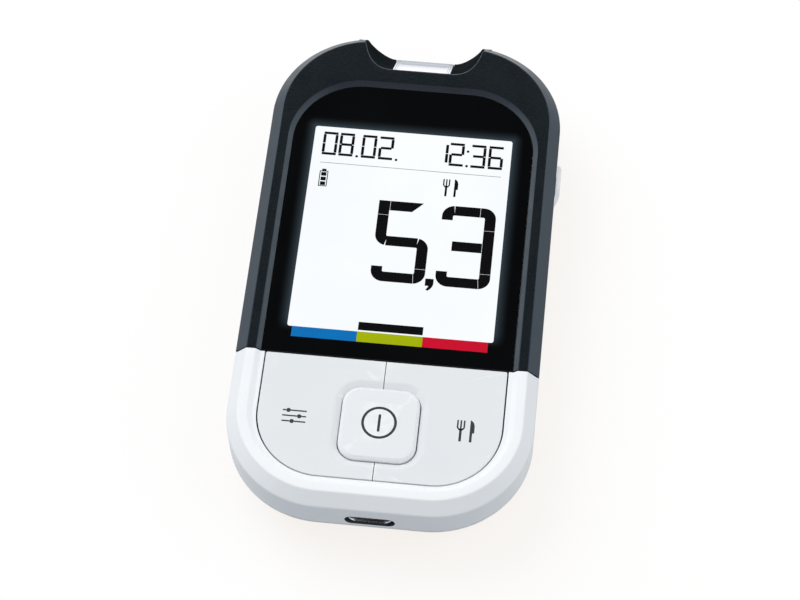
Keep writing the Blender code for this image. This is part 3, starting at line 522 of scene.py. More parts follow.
# Black of the arch: near black and finely textured where it lies level; smoother where it is sloped, and
# there coloured slate as painted reflection, paler as painted reflection where a sloped face turns to the
# window
def archMaterial():
    a = archLook
    material, kit, shader = newMaterial("arch black")
    marks = grainMarks(kit, shader, a["spread"], scale=a["scale"])
    normal = kit.add("ShaderNodeNewGeometry").outputs["Normal"]
    facing, place = kit.add("ShaderNodeSeparateXYZ", {0: normal}).outputs, kit.place()
    sloped = kit.span(facing[2], *a["levelFrom"], 1.0, 0.0, True)
    # Masks for the painted reflection: faces turned to the window, and the inner slope above it
    innerSheen = kit.math("MULTIPLY", facing[0], kit.math("DIVIDE", place[0], case["faceHalf"] * mm))
    innerSheen = kit.span(innerSheen, *a["innerSheenFrom"])
    above = kit.math("MULTIPLY", kit.span(facing[1], *a["aboveFrom"]), kit.band(place[1], *a["aboveBand"]))
    level = kit.mix(marks.outputs["Height"], *a["crest"])
    # Sloped faces get the painted reflection as their colour
    slopeSheen = kit.mix(marks.outputs["Tone"], *a["slopeSheen"])
    slopeSheen = kit.mix(innerSheen, kit.mix(above, slopeSheen, a["above"]), a["inner"])
    kit.feed(shader.inputs["Base Color"], kit.mix(sloped, level, slopeSheen))
    rough = kit.span(marks.outputs["Tone"], 0.0, 1.0, *a["rough"])
    rough = kit.math("SUBTRACT", rough, kit.math("MULTIPLY", sloped, a["slopeGloss"]))
    kit.feed(shader.inputs["Roughness"], rough)
    bump = kit.add("ShaderNodeBump", {"Strength": a["bump"], "Distance": a["depth"] * mm})
    height = kit.math("MULTIPLY", marks.outputs["Height"], kit.span(sloped, 0.0, 1.0, 1.0, a["slopeBump"]))
    kit.feed(bump.inputs["Height"], height)
    kit.feed(shader.inputs["Normal"], bump.outputs["Normal"])
    setFixed(shader, a["fixed"])
    return material


archBlack = archMaterial()
recessBlack = surface("recess black", {
    "colour": archLook["recess"], "tone": archLook["recessTone"], "edge": archLook["recessTone"],
    "rough": (0.75, 0.9), "scale": 2600.0, "spread": 260.0, "bump": 0.5, "depth": 0.02,
    "fixed": {"Specular IOR Level": 0.0},
})
# Near black for the white walls of the USB opening: painted shade
slotShadeBlack = surface("slot painted shade", {
    "colour": (0.012, 0.022, 0.032), "tone": (0.018, 0.030, 0.042), "edge": (0.03, 0.045, 0.06),
    "rough": (0.4, 0.55), "spread": 300.0,
})
print("materials for the case made")


# Gives a second material to the faces that a test on their middles and normals picks, in millimetres
def paintFaces(piece, material, chosen):
    mesh = piece.data
    middles, normals = np.empty(len(mesh.polygons) * 3), np.empty(len(mesh.polygons) * 3)
    mesh.polygons.foreach_get("center", middles)
    mesh.polygons.foreach_get("normal", normals)
    mesh.materials.append(material)
    picked = chosen(middles.reshape(-1, 3).T / mm, normals.reshape(-1, 3).T)
    mesh.polygons.foreach_set("material_index", picked.astype(np.int32))
    mesh.update()


recess = {
    "low": 40.9, "high": 49.1, "half": 11.5, "top": 16.85, "floorHalf": 9.0, "endHalf": 13.5,
    "portLow": 40.95, "portHalf": 5.9, "level": 0.05, "turned": 0.3, "square": 0.9, "endSquare": 0.95,
}


# Faces in the recess: the notch's wall below the crest, turned back or inwards; the lining's end on
# the end wall; and the sides of the box that the port opens
def inRecess(p, n):
    r, x, y, z = recess, np.abs(p[0]), p[1], p[2]
    inside = (y > r["low"]) & (y < r["high"]) & (x < r["half"]) & (z < r["top"])
    turned = (n[2] > -r["level"]) & (np.abs(n[0]) + n[1] > r["turned"])
    inwards = (n[0] * np.sign(p[0]) < -r["level"]) | (x < r["floorHalf"])
    end = (y >= r["high"]) & (n[1] > r["endSquare"]) & (x < r["endHalf"]) & (z < heights["shoulder"])
    port = (y > r["portLow"]) & (x < r["portHalf"]) & (np.abs(n[0]) > r["square"])
    return inside & turned & inwards | end | port


# Black arch round the window: floor of its slope, crest, flank, lining of the scooped notch, underside
def buildArch():
    h, a, thick = heights, archLook, lining["thick"]
    top, shoulder, land = h["crest"], h["shoulder"], h["shoulder"] + a["edgeLand"]
    steps, past = (np.linspace(reach, 0, rowCount["fineWall"]) for reach in (1.0, a["wallReach"]))
    foot = mirrored(faceHalf(0))
    rails = np.stack([
        lift(foot, h["floor"]), lift(mirrored(faceHalf(a["slopeRun"])), top),
        mirrored(outerHalf(a["crestInset"], top, scoopPoints(past, top))),
        mirrored(outerHalf(0, land, scoopExit(land), True)),
        mirrored(outerHalf(0, shoulder, scoopExit(shoulder, thick), True)),
        mirrored(outerHalf(a["underInset"], shoulder, scoopPoints(steps, shoulder, thick))),
        lift(foot, shoulder),
    ], axis=1)
    radii = (a["footRound"], a["round"], a["round"], a["landRound"], 0, 0, 0)
    part = gridPart(filleted(rails, radii, 5, a["rowsAfter"]), False)
    arch = addPiece("bezelArch", [part], "case", archBlack, ["front_bezel"])
    carve(arch, boxPart(*a["portBox"]), boxPart(*a["underBox"]))
    paintFaces(arch, recessBlack, inRecess)


scoopReach = {"low": 6.0, "high": 19.0, "aside": 1.0, "end": 60.0}


# Solid that the grown scooped wall leaves open, run on past the crest, the parting line and the end
def scoopSolid(grow):
    s, rings, t = scoopReach, [], np.linspace(0, 1.0, rowCount["cutter"])
    for z in (s["low"], heights["coverLow"], heights["crest"], s["high"]):
        side = scoopPoints(t, z, grow)
        side = np.vstack([side, [(side[-1, 0] + s["aside"], s["end"], z)]])
        rings.append(np.vstack([side, (side * (-1, 1, 1))[::-1]]))
    return gridPart(np.stack(rings), False)


# White front half: wall all round, rim and key opening below the seam, deck under the window
coverLook = {
    "upperRounds": (0.06, 0.12, 0.1, 0.1, 0.1, 0.06, 0, 0, 0), "deckReach": -1.0, "deckLip": 0.2,
    "deckShares": (0.3, 0.6), "insets": (0, 0, 2.1, 3.78, 4.61), "border": 5.36, "borderLow": 5.06,
    "lowerRounds": (0.06, 0.36, 0.26, 0.25, 0.12, 0.10, 0, 0, 0),
    "portBox": ((-5.8, 40.9, 9.1), (5.8, 51.0, 16.0)), "slideBox": ((23.0, 19.6, 10.2), (29.0, 27.2, 12.6)),
}
# Opening for the USB socket, cut between two Y, and the limits of its faces that are painted black as
# painted shade
usbSlot = {
    "half": 4.4, "rise": 1.375, "corner": 1.37, "rows": (10, 2), "cut": (-52.0, -45.0),
    "paintHalf": 4.45, "paintRise": 1.4, "painted": (-49.12, -46.0),
}


# Faces of the USB opening's wall, which get the painted shade
def inUsbSlot(p, n):
    u = usbSlot
    across, up = np.abs(p[0]) < u["paintHalf"], np.abs(p[2] - heights["socket"]) < u["paintRise"]
    return across & up & (p[1] > u["painted"][0]) & (p[1] < u["painted"][1])


# Above the seam from the case outline in to the deck's edge, below it from the outline to the keys;
# each row of the lower part is an inset with its level
def buildCover():
    c, h, u, reach = coverLook, heights, usbSlot, coverLook["deckReach"]
    inner = plainHalf(case["faceHalf"] + reach, case["faceTop"] + reach, case["faceRadius"] + reach)
    halves = (caseHalf(0), caseHalf(case["wall"]), toMiddle(inner))
    edge, wallLine, inner = (mirrored(half) for half in halves)
    across = [edge + (inner - edge) * share for share in c["deckShares"]]
    upper = np.stack([
        lift(edge, h["coverLow"]), *[lift(path, h["deck"]) for path in (edge, *across, inner)],
        lift(inner, h["deckLow"] + c["deckLip"]), lift(inner, h["deckLow"]),
        lift(wallLine, h["deckLow"]), lift(wallLine, h["coverLow"]),
    ], axis=1)
    insets = (*c["insets"], c["border"], c["border"], case["wall"], case["wall"])
    levels = ("coverLow", "shoulder", "crest", "crest", "floor", "floor", "rimLow", "rimLow", "coverLow")
    drop = c["border"] - c["borderLow"]
    lower = np.stack([
        lift(lowLoop(inset, drop if inset == c["border"] else 0.0), h[level])
        for inset, level in zip(insets, levels)
    ], axis=1)
    grid = np.concatenate([filleted(upper, c["upperRounds"], 6), filleted(lower, c["lowerRounds"], 6)])
    cover = addPiece("coverShell", [gridPart(grid)], "case", whiteShell, ["front_cover"])
    loop = roundedLoop(u["half"], -u["rise"], u["rise"], u["corner"], u["corner"], *u["rows"])
    mouth = np.stack([
        np.column_stack([loop[:, 0], np.full(len(loop), y), loop[:, 1] + h["socket"]]) for y in u["cut"]
    ])
    carve(
        cover, gridPart(mouth, False), scoopSolid(lining["thick"] + lining["gap"]),
        boxPart(*c["portBox"]), boxPart(*c["slideBox"]),
    )
    # The opening's walls get the painted shade
    paintFaces(cover, slotShadeBlack, inUsbSlot)


# White rear half: wall that draws in towards the table, open at the top, bay for the cells
tubLook = {
    "lean": 0.44, "foot": 0.42, "footHigh": 0.8, "lipHigh": 0.3,
    "levels": (0.0, 0.06, 0.18, 0.36, 0.6, 0.8, 1.0, 1.6, 2.4, 3.4, 4.6, 6.0, 7.2, 8.0, 8.3),
    "rootLevels": (1.8, 2.6, 3.6, 5.0, 8.3),
}
bay = {
    "half": 21.3, "low": -25.15, "high": -1.8, "wall": 1.2, "roof": 5.9, "floor": 1.75, "roofTop": 6.9,
    "cutLow": -1.0, "cutHigh": 3.0,
}
screwPlaces = ((15.5, 39.6), (-15.5, 39.6), (17.2, -39.35), (-17.2, -39.35))
screwHole = ((2.0, -1.0), (2.0, 2.4))


# Inset of the tub's wall at a height: lean (coverLow - height), fading to none over its top lip, and
# foot (1 - height / footHigh)^2 round the bottom
def tubInset(z):
    t, h = tubLook, heights
    lip = np.minimum((h["tubTop"] - z) / t["lipHigh"], 1)
    return t["lean"] * (h["coverLow"] - z) * lip + t["foot"] * np.maximum(1 - z / t["footHigh"], 0) ** 2


# The whole case outline at a height, inset as the wall is there
def tubRing(z, extra=0.0):
    inset = tubInset(z) + extra
    return lift(np.vstack([mirrored(caseHalf(inset)), lowLoop(inset)]), z)


# Rings up the outside and down the inside; the bay is a box wall, open below, with a roof
def buildTub():
    rings = [tubRing(z) for z in tubLook["levels"]]
    rings += [tubRing(z, case["wall"]) for z in tubLook["rootLevels"]][::-1]
    part = gridPart(np.stack(rings, axis=1), True, False)
    tub = addPiece("rearShell", [part], "case", whiteShell, ["rear_housing"])
    half, low, high, wall = bay["half"], bay["low"], bay["high"], bay["wall"]
    holes = [turnedPart(screwHole, x, y) for x, y in screwPlaces]
    carve(tub, boxPart((-half, low, bay["cutLow"]), (half, high, bay["cutHigh"])), *holes)
    walls = [
        [(x, y, z) for x, y in (
            (-half - out, low - out), (half + out, low - out),
            (half + out, high + out), (-half - out, high + out),
        )]
        for out, z in ((0, bay["roof"]), (0, bay["floor"]), (wall, bay["floor"]), (wall, bay["roofTop"]))
    ]
    part = gridPart(np.array(walls).transpose(1, 0, 2), True, False)
    addPiece("batteryBay", [part], "case", innerWhite)


buildArch()
buildCover()
buildTub()
print("arch, cover and tub made")

# Window: glossy black border with the lit display in it, and the light that spreads round it
window = {
    "half": 18.4, "low": -15.21, "high": 27.52, "corner": 0.45, "inset": 0.14, "outerCorner": 0.3,
    "rounds": (0, 0.05, 0.03, 0), "rowsAfter": ((1, 10),), "rows": (26, 14),
    "glow": 2.3, "glowFrom": (-16.5, -13.0), "halo": (0.034, 0.050, 0.062),
    "colours": ((0.0012, 0.0015, 0.002), (0.002, 0.0024, 0.003)), "rough": (0.045, 0.075), "spread": 60.0,
    "fixed": {"Emission Strength": 1.0, "Coat Weight": 0.6, "Coat Roughness": 0.03},
}
display = {
    "gap": 0.004, "thick": 0.6, "drop": 0.02, "inkThick": 0.014, "barRise": 0.012, "spread": 45.0,
    "glow": ((0.80, 0.835, 0.86), (0.82, 0.85, 0.87)), "colours": ((0.13, 0.13, 0.13), (0.15, 0.15, 0.15)),
    "fixed": {"Emission Strength": 1.0, "Roughness": 0.12},
}
inkLook = {"spread": 300.0, "darker": 0.92, "rough": (0.20, 0.30), "gloss": 0.5, "sink": 0.01, "rise": 0.012}


# Distance outside a rectangle given by its middle and half sizes: the length of what each coordinate
# is past its half size
def outsideOf(kit, place, middle, halves):
    squares = []
    for axis in (0, 1):
        away = kit.math("ABSOLUTE", kit.math("SUBTRACT", place[axis], middle[axis] * mm))
        away = kit.math("MAXIMUM", kit.math("SUBTRACT", away, halves[axis] * mm), 0.0)
        squares.append(kit.math("POWER", away, 2.0))
    return kit.math("SQRT", kit.math("ADD", *squares))


# Black glass; the halo fades as (1 - distance / glow)^2 and stops above the coloured bars
def windowMaterial():
    w = window
    material, kit, shader = newMaterial("window black")
    place, half = kit.place(), (w["high"] - w["low"]) / 2
    away = outsideOf(kit, place, (0.0, (w["low"] + w["high"]) / 2), (w["half"], half))
    fade = kit.math("POWER", kit.band(away, 0.0, w["glow"], 1.0, 0.0), 2.0)
    fade = kit.math("MULTIPLY", fade, kit.band(place[1], *w["glowFrom"], smooth=True))
    kit.feed(shader.inputs["Emission Color"], kit.mix(fade, (0, 0, 0), w["halo"]))
    marks = grainMarks(kit, shader, w["spread"], w["rough"])
    kit.feed(shader.inputs["Base Color"], kit.mix(marks.outputs["Tone"], *w["colours"]))
    setFixed(shader, w["fixed"])
    return material


# Lit panel: light and colour both wander a little with the broad noise
def displayMaterial():
    material, kit, shader = newMaterial("lit display")
    marks = grainMarks(kit, shader, display["spread"])
    kit.feed(shader.inputs["Emission Color"], kit.mix(marks.outputs["Tone"], *display["glow"]))
    kit.feed(shader.inputs["Base Color"], kit.mix(marks.outputs["Tone"], *display["colours"]))
    setFixed(shader, display["fixed"])
    return material


# Printed ink: its colour and a darker tone of it by the broad noise
def inkMaterial(name, colour, gloss=inkLook["gloss"]):
    material, kit, shader = newMaterial(name)
    marks = grainMarks(kit, shader, inkLook["spread"], inkLook["rough"])
    darker = [value * inkLook["darker"] for value in colour]
    kit.feed(shader.inputs["Base Color"], kit.mix(marks.outputs["Tone"], colour, darker))
    setFixed(shader, {"Specular IOR Level": gloss})
    return material


# Border between two rounded loops, and the display as a plate in its opening
def buildWindow():
    w, top, low = window, heights["lensTop"], heights["shoulder"]
    half, seam, end = case["faceHalf"] - w["inset"], case["seam"] + case["gap"], case["faceTop"] - w["inset"]
    outer = roundedLoop(half, seam, end, w["outerCorner"], case["faceRadius"] - w["inset"], *w["rows"])
    opening = roundedLoop(w["half"], w["low"], w["high"], w["corner"], w["corner"], *w["rows"])
    rails = np.stack([lift(outer, low), lift(outer, top), lift(opening, top), lift(opening, low)], axis=1)
    border = gridPart(filleted(rails, w["rounds"], 5, w["rowsAfter"]))
    addPiece("windowBorder", [border], "case", windowMaterial(), ["display_lens"])
    gap, corner = display["gap"], w["corner"]
    inside = roundedLoop(w["half"] - gap, w["low"] + gap, w["high"] - gap, corner, corner)
    face = prismPart(inside, top - display["thick"], top - display["drop"])
    addPiece("displayFace", [face], "case", displayMaterial())


# Ribbon outline round an open path: each point moved half the width along the path's normal
def ribbon(path, width, slant=(0.0, 0.0)):
    path = np.array(path, float)
    ahead = np.diff(path, axis=0)
    ahead /= np.linalg.norm(ahead, axis=1, keepdims=True)
    normals = np.stack([-ahead[:, 1], ahead[:, 0]], axis=1)
    joint = np.vstack([normals[:1], normals[:-1] + normals[1:], normals[-1:]])
    joint /= np.linalg.norm(joint, axis=1, keepdims=True)
    square = np.sum(joint * np.vstack([normals[:1], normals]), axis=1, keepdims=True)
    left, right = path + joint / square * width / 2, path - joint / square * width / 2
    left[0] -= ahead[0] * slant[0]
    right[0] += ahead[0] * slant[0]
    left[-1] += ahead[-1] * slant[1]
    right[-1] -= ahead[-1] * slant[1]
    return np.vstack([left, right[::-1]])


# Open path with rounded corners: each corner replaced by a quarter of an ellipse on its two sides
def roundedPath(points, radii, count=10):
    points = np.array(points, float)
    parts = [points[:1]]
    for k in range(1, len(points) - 1):
        if not radii[k - 1]:
            parts.append(points[k: k + 1])
            continue
        before, after = points[k - 1] - points[k], points[k + 1] - points[k]
        start = points[k] + before / np.linalg.norm(before) * radii[k - 1]
        end = points[k] + after / np.linalg.norm(after) * radii[k - 1]
        angle = np.linspace(0, math.pi / 2, count)[:, None]
        turn = (points[k] - end) * np.cos(angle) + (points[k] - start) * np.sin(angle)
        parts.append(start + end - points[k] + turn)
    return np.vstack(parts + [points[-1:]])


# Cuts a path into pieces at given lengths, leaving a small gap at each; points that nearly meet a
# cut are left out
def splitPath(path, places, gap, near=0.01):
    travelled = np.concatenate(([0.0], np.cumsum(np.hypot(*np.diff(path, axis=0).T))))
    cuts = [value for place in places for value in (place - gap / 2, place + gap / 2)]
    ends, pieces = [0.0] + cuts + [travelled[-1]], []
    for start, end in zip(ends[::2], ends[1::2]):
        inside = path[(travelled > start + near) & (travelled < end - near)]
        tips = [[[np.interp(at, travelled, path[:, i]) for i in (0, 1)]] for at in (start, end)]
        pieces.append(np.vstack([tips[0], inside, tips[1]]))
    return pieces


# Filled circle
def disc(x, y, radius, count=20):
    return arcPoints(x, y, radius, 0, 2 * math.pi, count + 1)[:-1]


# Small seven-segment figures of the date and the time, each with its place
segments = {"0": "abcdef", "1": "bc", "2": "abged", "3": "abgcd", "6": "afgedc", "8": "abcdefg"}
smallInk = {
    "width": 2.75, "height": 5.05, "stroke": 0.52, "gap": 0.06, "dot": 0.26,
    "figures": (
        ("0", -16.7, 21.35), ("8", -13.6, 21.35), ("0", -9.4, 21.3), ("2", -6.2, 21.25),
        ("1", 4.0, 21.15), ("2", 6.95, 21.1), ("3", 10.98, 21.05), ("6", 14.2, 21.05),
    ),
    "dots": ((-10.1, 21.5), (-2.75, 21.4), (10.35, 24.5), (10.35, 21.3)),
}
# Large figures: rounded strokes, broken by hairline gaps where segments meet
largeInk = {
    "stroke": 2.02, "gap": 0.055,
    "five": (
        (2.35, 11.44), (-3.84, 11.44), (-3.84, 3.95), (3.98, 3.95), (3.98, -3.56), (-3.84, -3.56),
        (-3.84, -1.45),
    ),
    "fiveRound": (0, 1.25, 1.25, 1.25, 1.25), "fiveGaps": (5.1, 8.2, 14.2, 19.93, 25.85, 28.5),
    "fiveSlant": -1.0,
    "three": ((7.88, 9.4), (7.88, 11.46), (15.72, 11.46), (15.72, -3.56), (7.88, -3.56), (7.88, -1.45)),
    "threeRound": (1.25, 1.25, 1.25, 1.25), "threeGaps": (2.75, 7.45, 12.6, 21.7, 24.4),
    "threeSlant": 0.0, "threeBar": ((9.21, 3.95), (14.66, 3.95)),
    "comma": (
        (5.15, -3.25), (6.65, -3.25), (6.68, -4.3), (6.5, -4.9), (6.15, -5.4), (5.75, -5.75),
        (5.35, -5.55), (5.6, -5.2), (5.82, -4.75), (5.15, -4.75),
    ),
}
# Other marks on the display: battery, meal (knife and fork), rule, and the range's marker and bars
battery = {
    "left": -16.5, "right": -14.9, "low": 14.5, "high": 17.7, "line": 0.16,
    "capHalf": 0.4, "capUp": 0.3, "cap": 0.42, "first": 0.55, "pitch": 1.02, "in": 0.32, "cell": 0.78,
}
rule = {"path": ((-16.7, 19.62), (16.86, 19.5)), "width": 0.12, "colour": (0.33, 0.34, 0.36)}
rangeMarker = ((-5.78, -14.9), (5.8, -14.9), (5.8, -13.25), (-5.78, -13.25))
rangeLook = {"low": -17.28, "high": -15.24, "gloss": 0.12}
rangeBars = (
    ("rangeBlue", -17.5, -5.86, (0.0015, 0.165, 0.485)), ("rangeGreen", -5.84, 5.86, (0.376, 0.456, 0.0)),
    ("rangeRed", 5.88, 17.5, (0.624, 0.004, 0.027)),
)
# Knife and fork, four units high: strokes with their widths, and the blade's outline
mealLook = {
    "high": 4.0, "place": (7.9, 14.4, 3.8), "keyPlace": (15.15, -35.05, 4.2),
    "strokes": (
        (((-0.9, 0), (-0.9, 2.4)), 0.42),
        (((-1.45, 3.9), (-1.45, 2.55), (-1.15, 2.15), (-0.65, 2.15), (-0.35, 2.55), (-0.35, 3.9)), 0.26),
        (((-0.9, 2.3), (-0.9, 3.9)), 0.26), (((0.85, 0), (0.85, 1.7)), 0.42),
    ),
    "blade": ((0.64, 1.65), (1.38, 1.65), (1.38, 3.0), (1.2, 3.6), (0.8, 4.0), (0.64, 4.0)),
}
displayBlack = (0.004, 0.004, 0.005)


# One figure: a ribbon for each of its segments, shortened by the gap
def smallFigure(figure, x, y):
    w, h, s, g = (smallInk[key] for key in ("width", "height", "stroke", "gap"))
    left, right, low, high, middle = x + s / 2, x + w - s / 2, y + s / 2, y + h - s / 2, y + h / 2
    ends = {
        "a": ((left - s / 2 + g, high), (right + s / 2 - g, high)),
        "g": ((left + g * 2, middle), (right - g * 2, middle)),
        "d": ((left - s / 2 + g, low), (right + s / 2 - g, low)),
        "f": ((left, middle + g), (left, high - s / 2 - g)),
        "b": ((right, middle + g), (right, high - s / 2 - g)),
        "e": ((left, low + s / 2 + g), (left, middle - g)),
        "c": ((right, low + s / 2 + g), (right, middle - g)),
    }
    return [ribbon(ends[segment], s) for segment in segments[figure]]


# A large figure: its rounded path cut at its gaps, with a slanted first end
def largeFigure(name):
    path = roundedPath(largeInk[name], largeInk[name + "Round"])
    pieces = splitPath(path, largeInk[name + "Gaps"], largeInk["gap"])
    slants = [largeInk[name + "Slant"]] + [0.0] * (len(pieces) - 1)
    return [ribbon(piece, largeInk["stroke"], (slant, 0.0)) for piece, slant in zip(pieces, slants)]


# Knife and fork: the unit shape times the size, moved to its place
def mealMark(x, y, height):
    size = height / mealLook["high"]

    def placed(points):
        return np.array(points, float) * size + (x, y)

    strokes = [ribbon(placed(path), width * size) for path, width in mealLook["strokes"]]
    return strokes + [placed(mealLook["blade"])]


# Battery: a frame of four lines, a cap, and three cells one above the other
def batteryMark():
    b, inset = battery, battery["line"] / 2
    middle = (b["left"] + b["right"]) / 2
    frameLines = [((b["left"], y), (b["right"], y)) for y in (b["low"], b["high"])]
    frameLines += [
        ((x, b["low"] + inset), (x, b["high"] - inset)) for x in (b["left"] + inset, b["right"] - inset)
    ]
    cap = ((middle - b["capHalf"], b["high"] + b["capUp"]), (middle + b["capHalf"], b["high"] + b["capUp"]))
    levels = [b["low"] + b["first"] + k * b["pitch"] for k in range(3)]
    cells = [ribbon(((b["left"] + b["in"], y), (b["right"] - b["in"], y)), b["cell"]) for y in levels]
    return [ribbon(path, b["line"]) for path in frameLines] + [ribbon(cap, b["cap"])] + cells


# Printed marks: flat shapes of one thickness, in one piece
def addMarks(name, shapes, low, high, body, ink):
    addPiece(name, [prismPart(shape, low, high) for shape in shapes], body, ink)


# Everything printed on the display, and the three coloured bars under it
def buildDisplayInk():
    top = heights["lensTop"]
    low = top - display["drop"]
    high = low + display["inkThick"]
    shapes = [shape for figure in smallInk["figures"] for shape in smallFigure(*figure)]
    shapes += [disc(x, y, smallInk["dot"]) for x, y in smallInk["dots"]]
    shapes += largeFigure("five") + largeFigure("three")
    shapes += [ribbon(largeInk["threeBar"], largeInk["stroke"]), np.array(largeInk["comma"])]
    shapes += [np.array(rangeMarker)] + batteryMark() + mealMark(*mealLook["place"])
    ink, grey = inkMaterial("display ink", displayBlack), inkMaterial("rule grey", rule["colour"])
    addMarks("displayFigures", shapes, low, high, "case", ink)
    addMarks("displayRule", [ribbon(rule["path"], rule["width"])], low, high, "case", grey)
    barLow, barHigh = rangeLook["low"], rangeLook["high"]
    for name, left, right, colour in rangeBars:
        bar = np.array(((left, barLow), (right, barLow), (right, barHigh), (left, barHigh)))
        ink = inkMaterial(name + " ink", colour, rangeLook["gloss"])
        addMarks(name, [bar], low, top + display["barRise"], "case", ink)


buildWindow()
buildDisplayInk()
print("window and display made")

# Keys: two plates that dish down towards the raised power button between them
keys = {
    "panelHalf": 21.39, "panelLow": -43.84, "panelRadius": 11.79, "panelCorner": 0.25, "split": 0.07,
    "powerHalf": 6.82, "powerLow": -40.1, "powerHigh": -26.15, "powerRadius": 3.2, "gap": 0.16,
    "dish": 1.35, "dishDepth": 0.65, "rounds": (0, 0.12, 0.35, 0.16, 0), "rowsAfter": ((2, 3),),
    "rows": {"end": 12, "arc": 22, "side": 10},
}
# Power button: its lowest ring, then insets and depths under its top from the bevel inwards
button = {
    "top": 16.53, "low": 13.5, "sharpest": 0.02, "rows": (14, 8),
    "rings": (
        (0, -0.62), (0.02, -0.50), (0.09, -0.38), (0.42, -0.09), (0.52, -0.03), (0.62, -0.006), (0.72, 0),
        (0.8, 0), (2.0, 0), (3.0, 0),
    ),
}
powerMark = {"y": -32.99, "radius": 2.87, "stroke": 0.46, "bar": (-34.75, -31.35), "barHalf": 0.23,
             "count": 96, "endCount": 10}
# Mark of three sliders: Y and knob place of each, half length, line, and knob with the gap round it
sliderMark = {
    "x": -14.9, "rows": ((-31.9, -1.1), (-32.95, 0.9), (-34.0, -0.3)), "half": 2.1, "line": 0.26,
    "knob": 0.40, "gap": 0.42,
}
printGrey = inkMaterial("print grey", (0.052, 0.060, 0.069))


# Right half of a rounded outline from the bottom up, in five sections: line, arc, line, arc, line
def fiveSections(half, low, high, lowRadius, highRadius):
    start, count = keys["split"], keys["rows"]
    return np.vstack([
        line((start, low), (half - lowRadius, low), count["end"])[:-1],
        arcPoints(half - lowRadius, low + lowRadius, lowRadius, -math.pi / 2, 0, count["arc"])[:-1],
        line((half, low + lowRadius), (half, high - highRadius), count["side"])[:-1],
        arcPoints(half - highRadius, high - highRadius, highRadius, 0, math.pi / 2, count["arc"])[:-1],
        line((half - highRadius, high), (start, high), count["end"]),
    ])


# Right half of the button's outline, grown evenly
def buttonHalf(grow):
    half, low, high, radius = (keys["power" + part] for part in ("Half", "Low", "High", "Radius"))
    return fiveSections(half + grow, low - grow, high + grow, radius + grow, radius + grow)


# Each plate runs from the button's hole up the dish to the panel's outline; the left one is mirrored
def buildKeys():
    k, top, low = keys, heights["lensTop"], heights["keyLow"]
    high = case["seam"] - case["gap"]
    hole = buttonHalf(k["gap"])
    panel = fiveSections(k["panelHalf"], k["panelLow"], high, k["panelRadius"], k["panelCorner"])
    rails = np.stack([
        lift(hole, low), lift(hole, top - k["dishDepth"]), lift(buttonHalf(k["dish"]), top),
        lift(panel, top), lift(panel, low),
    ], axis=1)
    grid = filleted(rails, k["rounds"], 6, k["rowsAfter"])
    for name, side, node in (("markKeyPlate", 1, "mark_key"), ("setKeyPlate", -1, "set_key")):
        part = gridPart(grid * (side, 1, 1), False)
        addPiece(name, [part], node, keyWhite, [node])


# Rounded loops about the button's middle, each inset by its ring's amount
def buildPowerButton():
    b, half = button, (keys["powerHigh"] - keys["powerLow"]) / 2
    centre, loops = (keys["powerHigh"] + keys["powerLow"]) / 2, []
    for inset, z in ((0, b["low"]), *[(inset, b["top"] + depth) for inset, depth in b["rings"]]):
        radius = max(keys["powerRadius"] - inset, b["sharpest"])
        width, height = keys["powerHalf"] - inset, half - inset
        loop = roundedLoop(width, centre - height, centre + height, radius, radius, *b["rows"])
        loops.append(lift(loop, z))
    part = gridPart(np.stack(loops, axis=1), True, False)
    addPiece("powerButton", [part], "power_button", buttonWhite, ["power_button"])


# Power symbol on the button: a circle with square edges, and a bar with round ends
def buildPowerMark():
    p, y = powerMark, powerMark["y"]
    low, high = button["top"] - inkLook["sink"], button["top"] + inkLook["rise"]
    circle = disc(0, y, p["radius"], p["count"])
    outward = (circle - (0, y)) / p["radius"] * p["stroke"] / 2
    ring = np.stack([
        lift(circle + outward * side, z) for side, z in ((-1, low), (1, low), (1, high), (-1, high))
    ], axis=1)
    barLow, barHigh = p["bar"]
    bar = np.vstack([
        arcPoints(0, barHigh - p["barHalf"], p["barHalf"], 0, math.pi, p["endCount"]),
        arcPoints(0, barLow + p["barHalf"], p["barHalf"], math.pi, 2 * math.pi, p["endCount"]),
    ])
    parts = [gridPart(ring), prismPart(bar, low, high)]
    addPiece("powerSymbol", parts, "power_button", printGrey)


# Generic marks printed on the two key plates: three sliders on the left, knife and fork right
def buildKeyMarks():
    s, x, top = sliderMark, sliderMark["x"], heights["lensTop"]
    low, high = top - inkLook["sink"], top + inkLook["rise"]
    shapes = []
    for y, knob in s["rows"]:
        ends = ((x - s["half"], x + knob - s["gap"]), (x + knob + s["gap"], x + s["half"]))
        shapes += [ribbon(((start, y), (end, y)), s["line"]) for start, end in ends]
        shapes.append(disc(x + knob, y, s["knob"]))
    addMarks("setMark", shapes, low, high, "set_key", printGrey)
    shapes = mealMark(*mealLook["keyPlace"])
    addMarks("mealMark", shapes, low, high, "mark_key", printGrey)


buildKeys()
buildPowerButton()
buildPowerMark()
buildKeyMarks()
print("keys made")

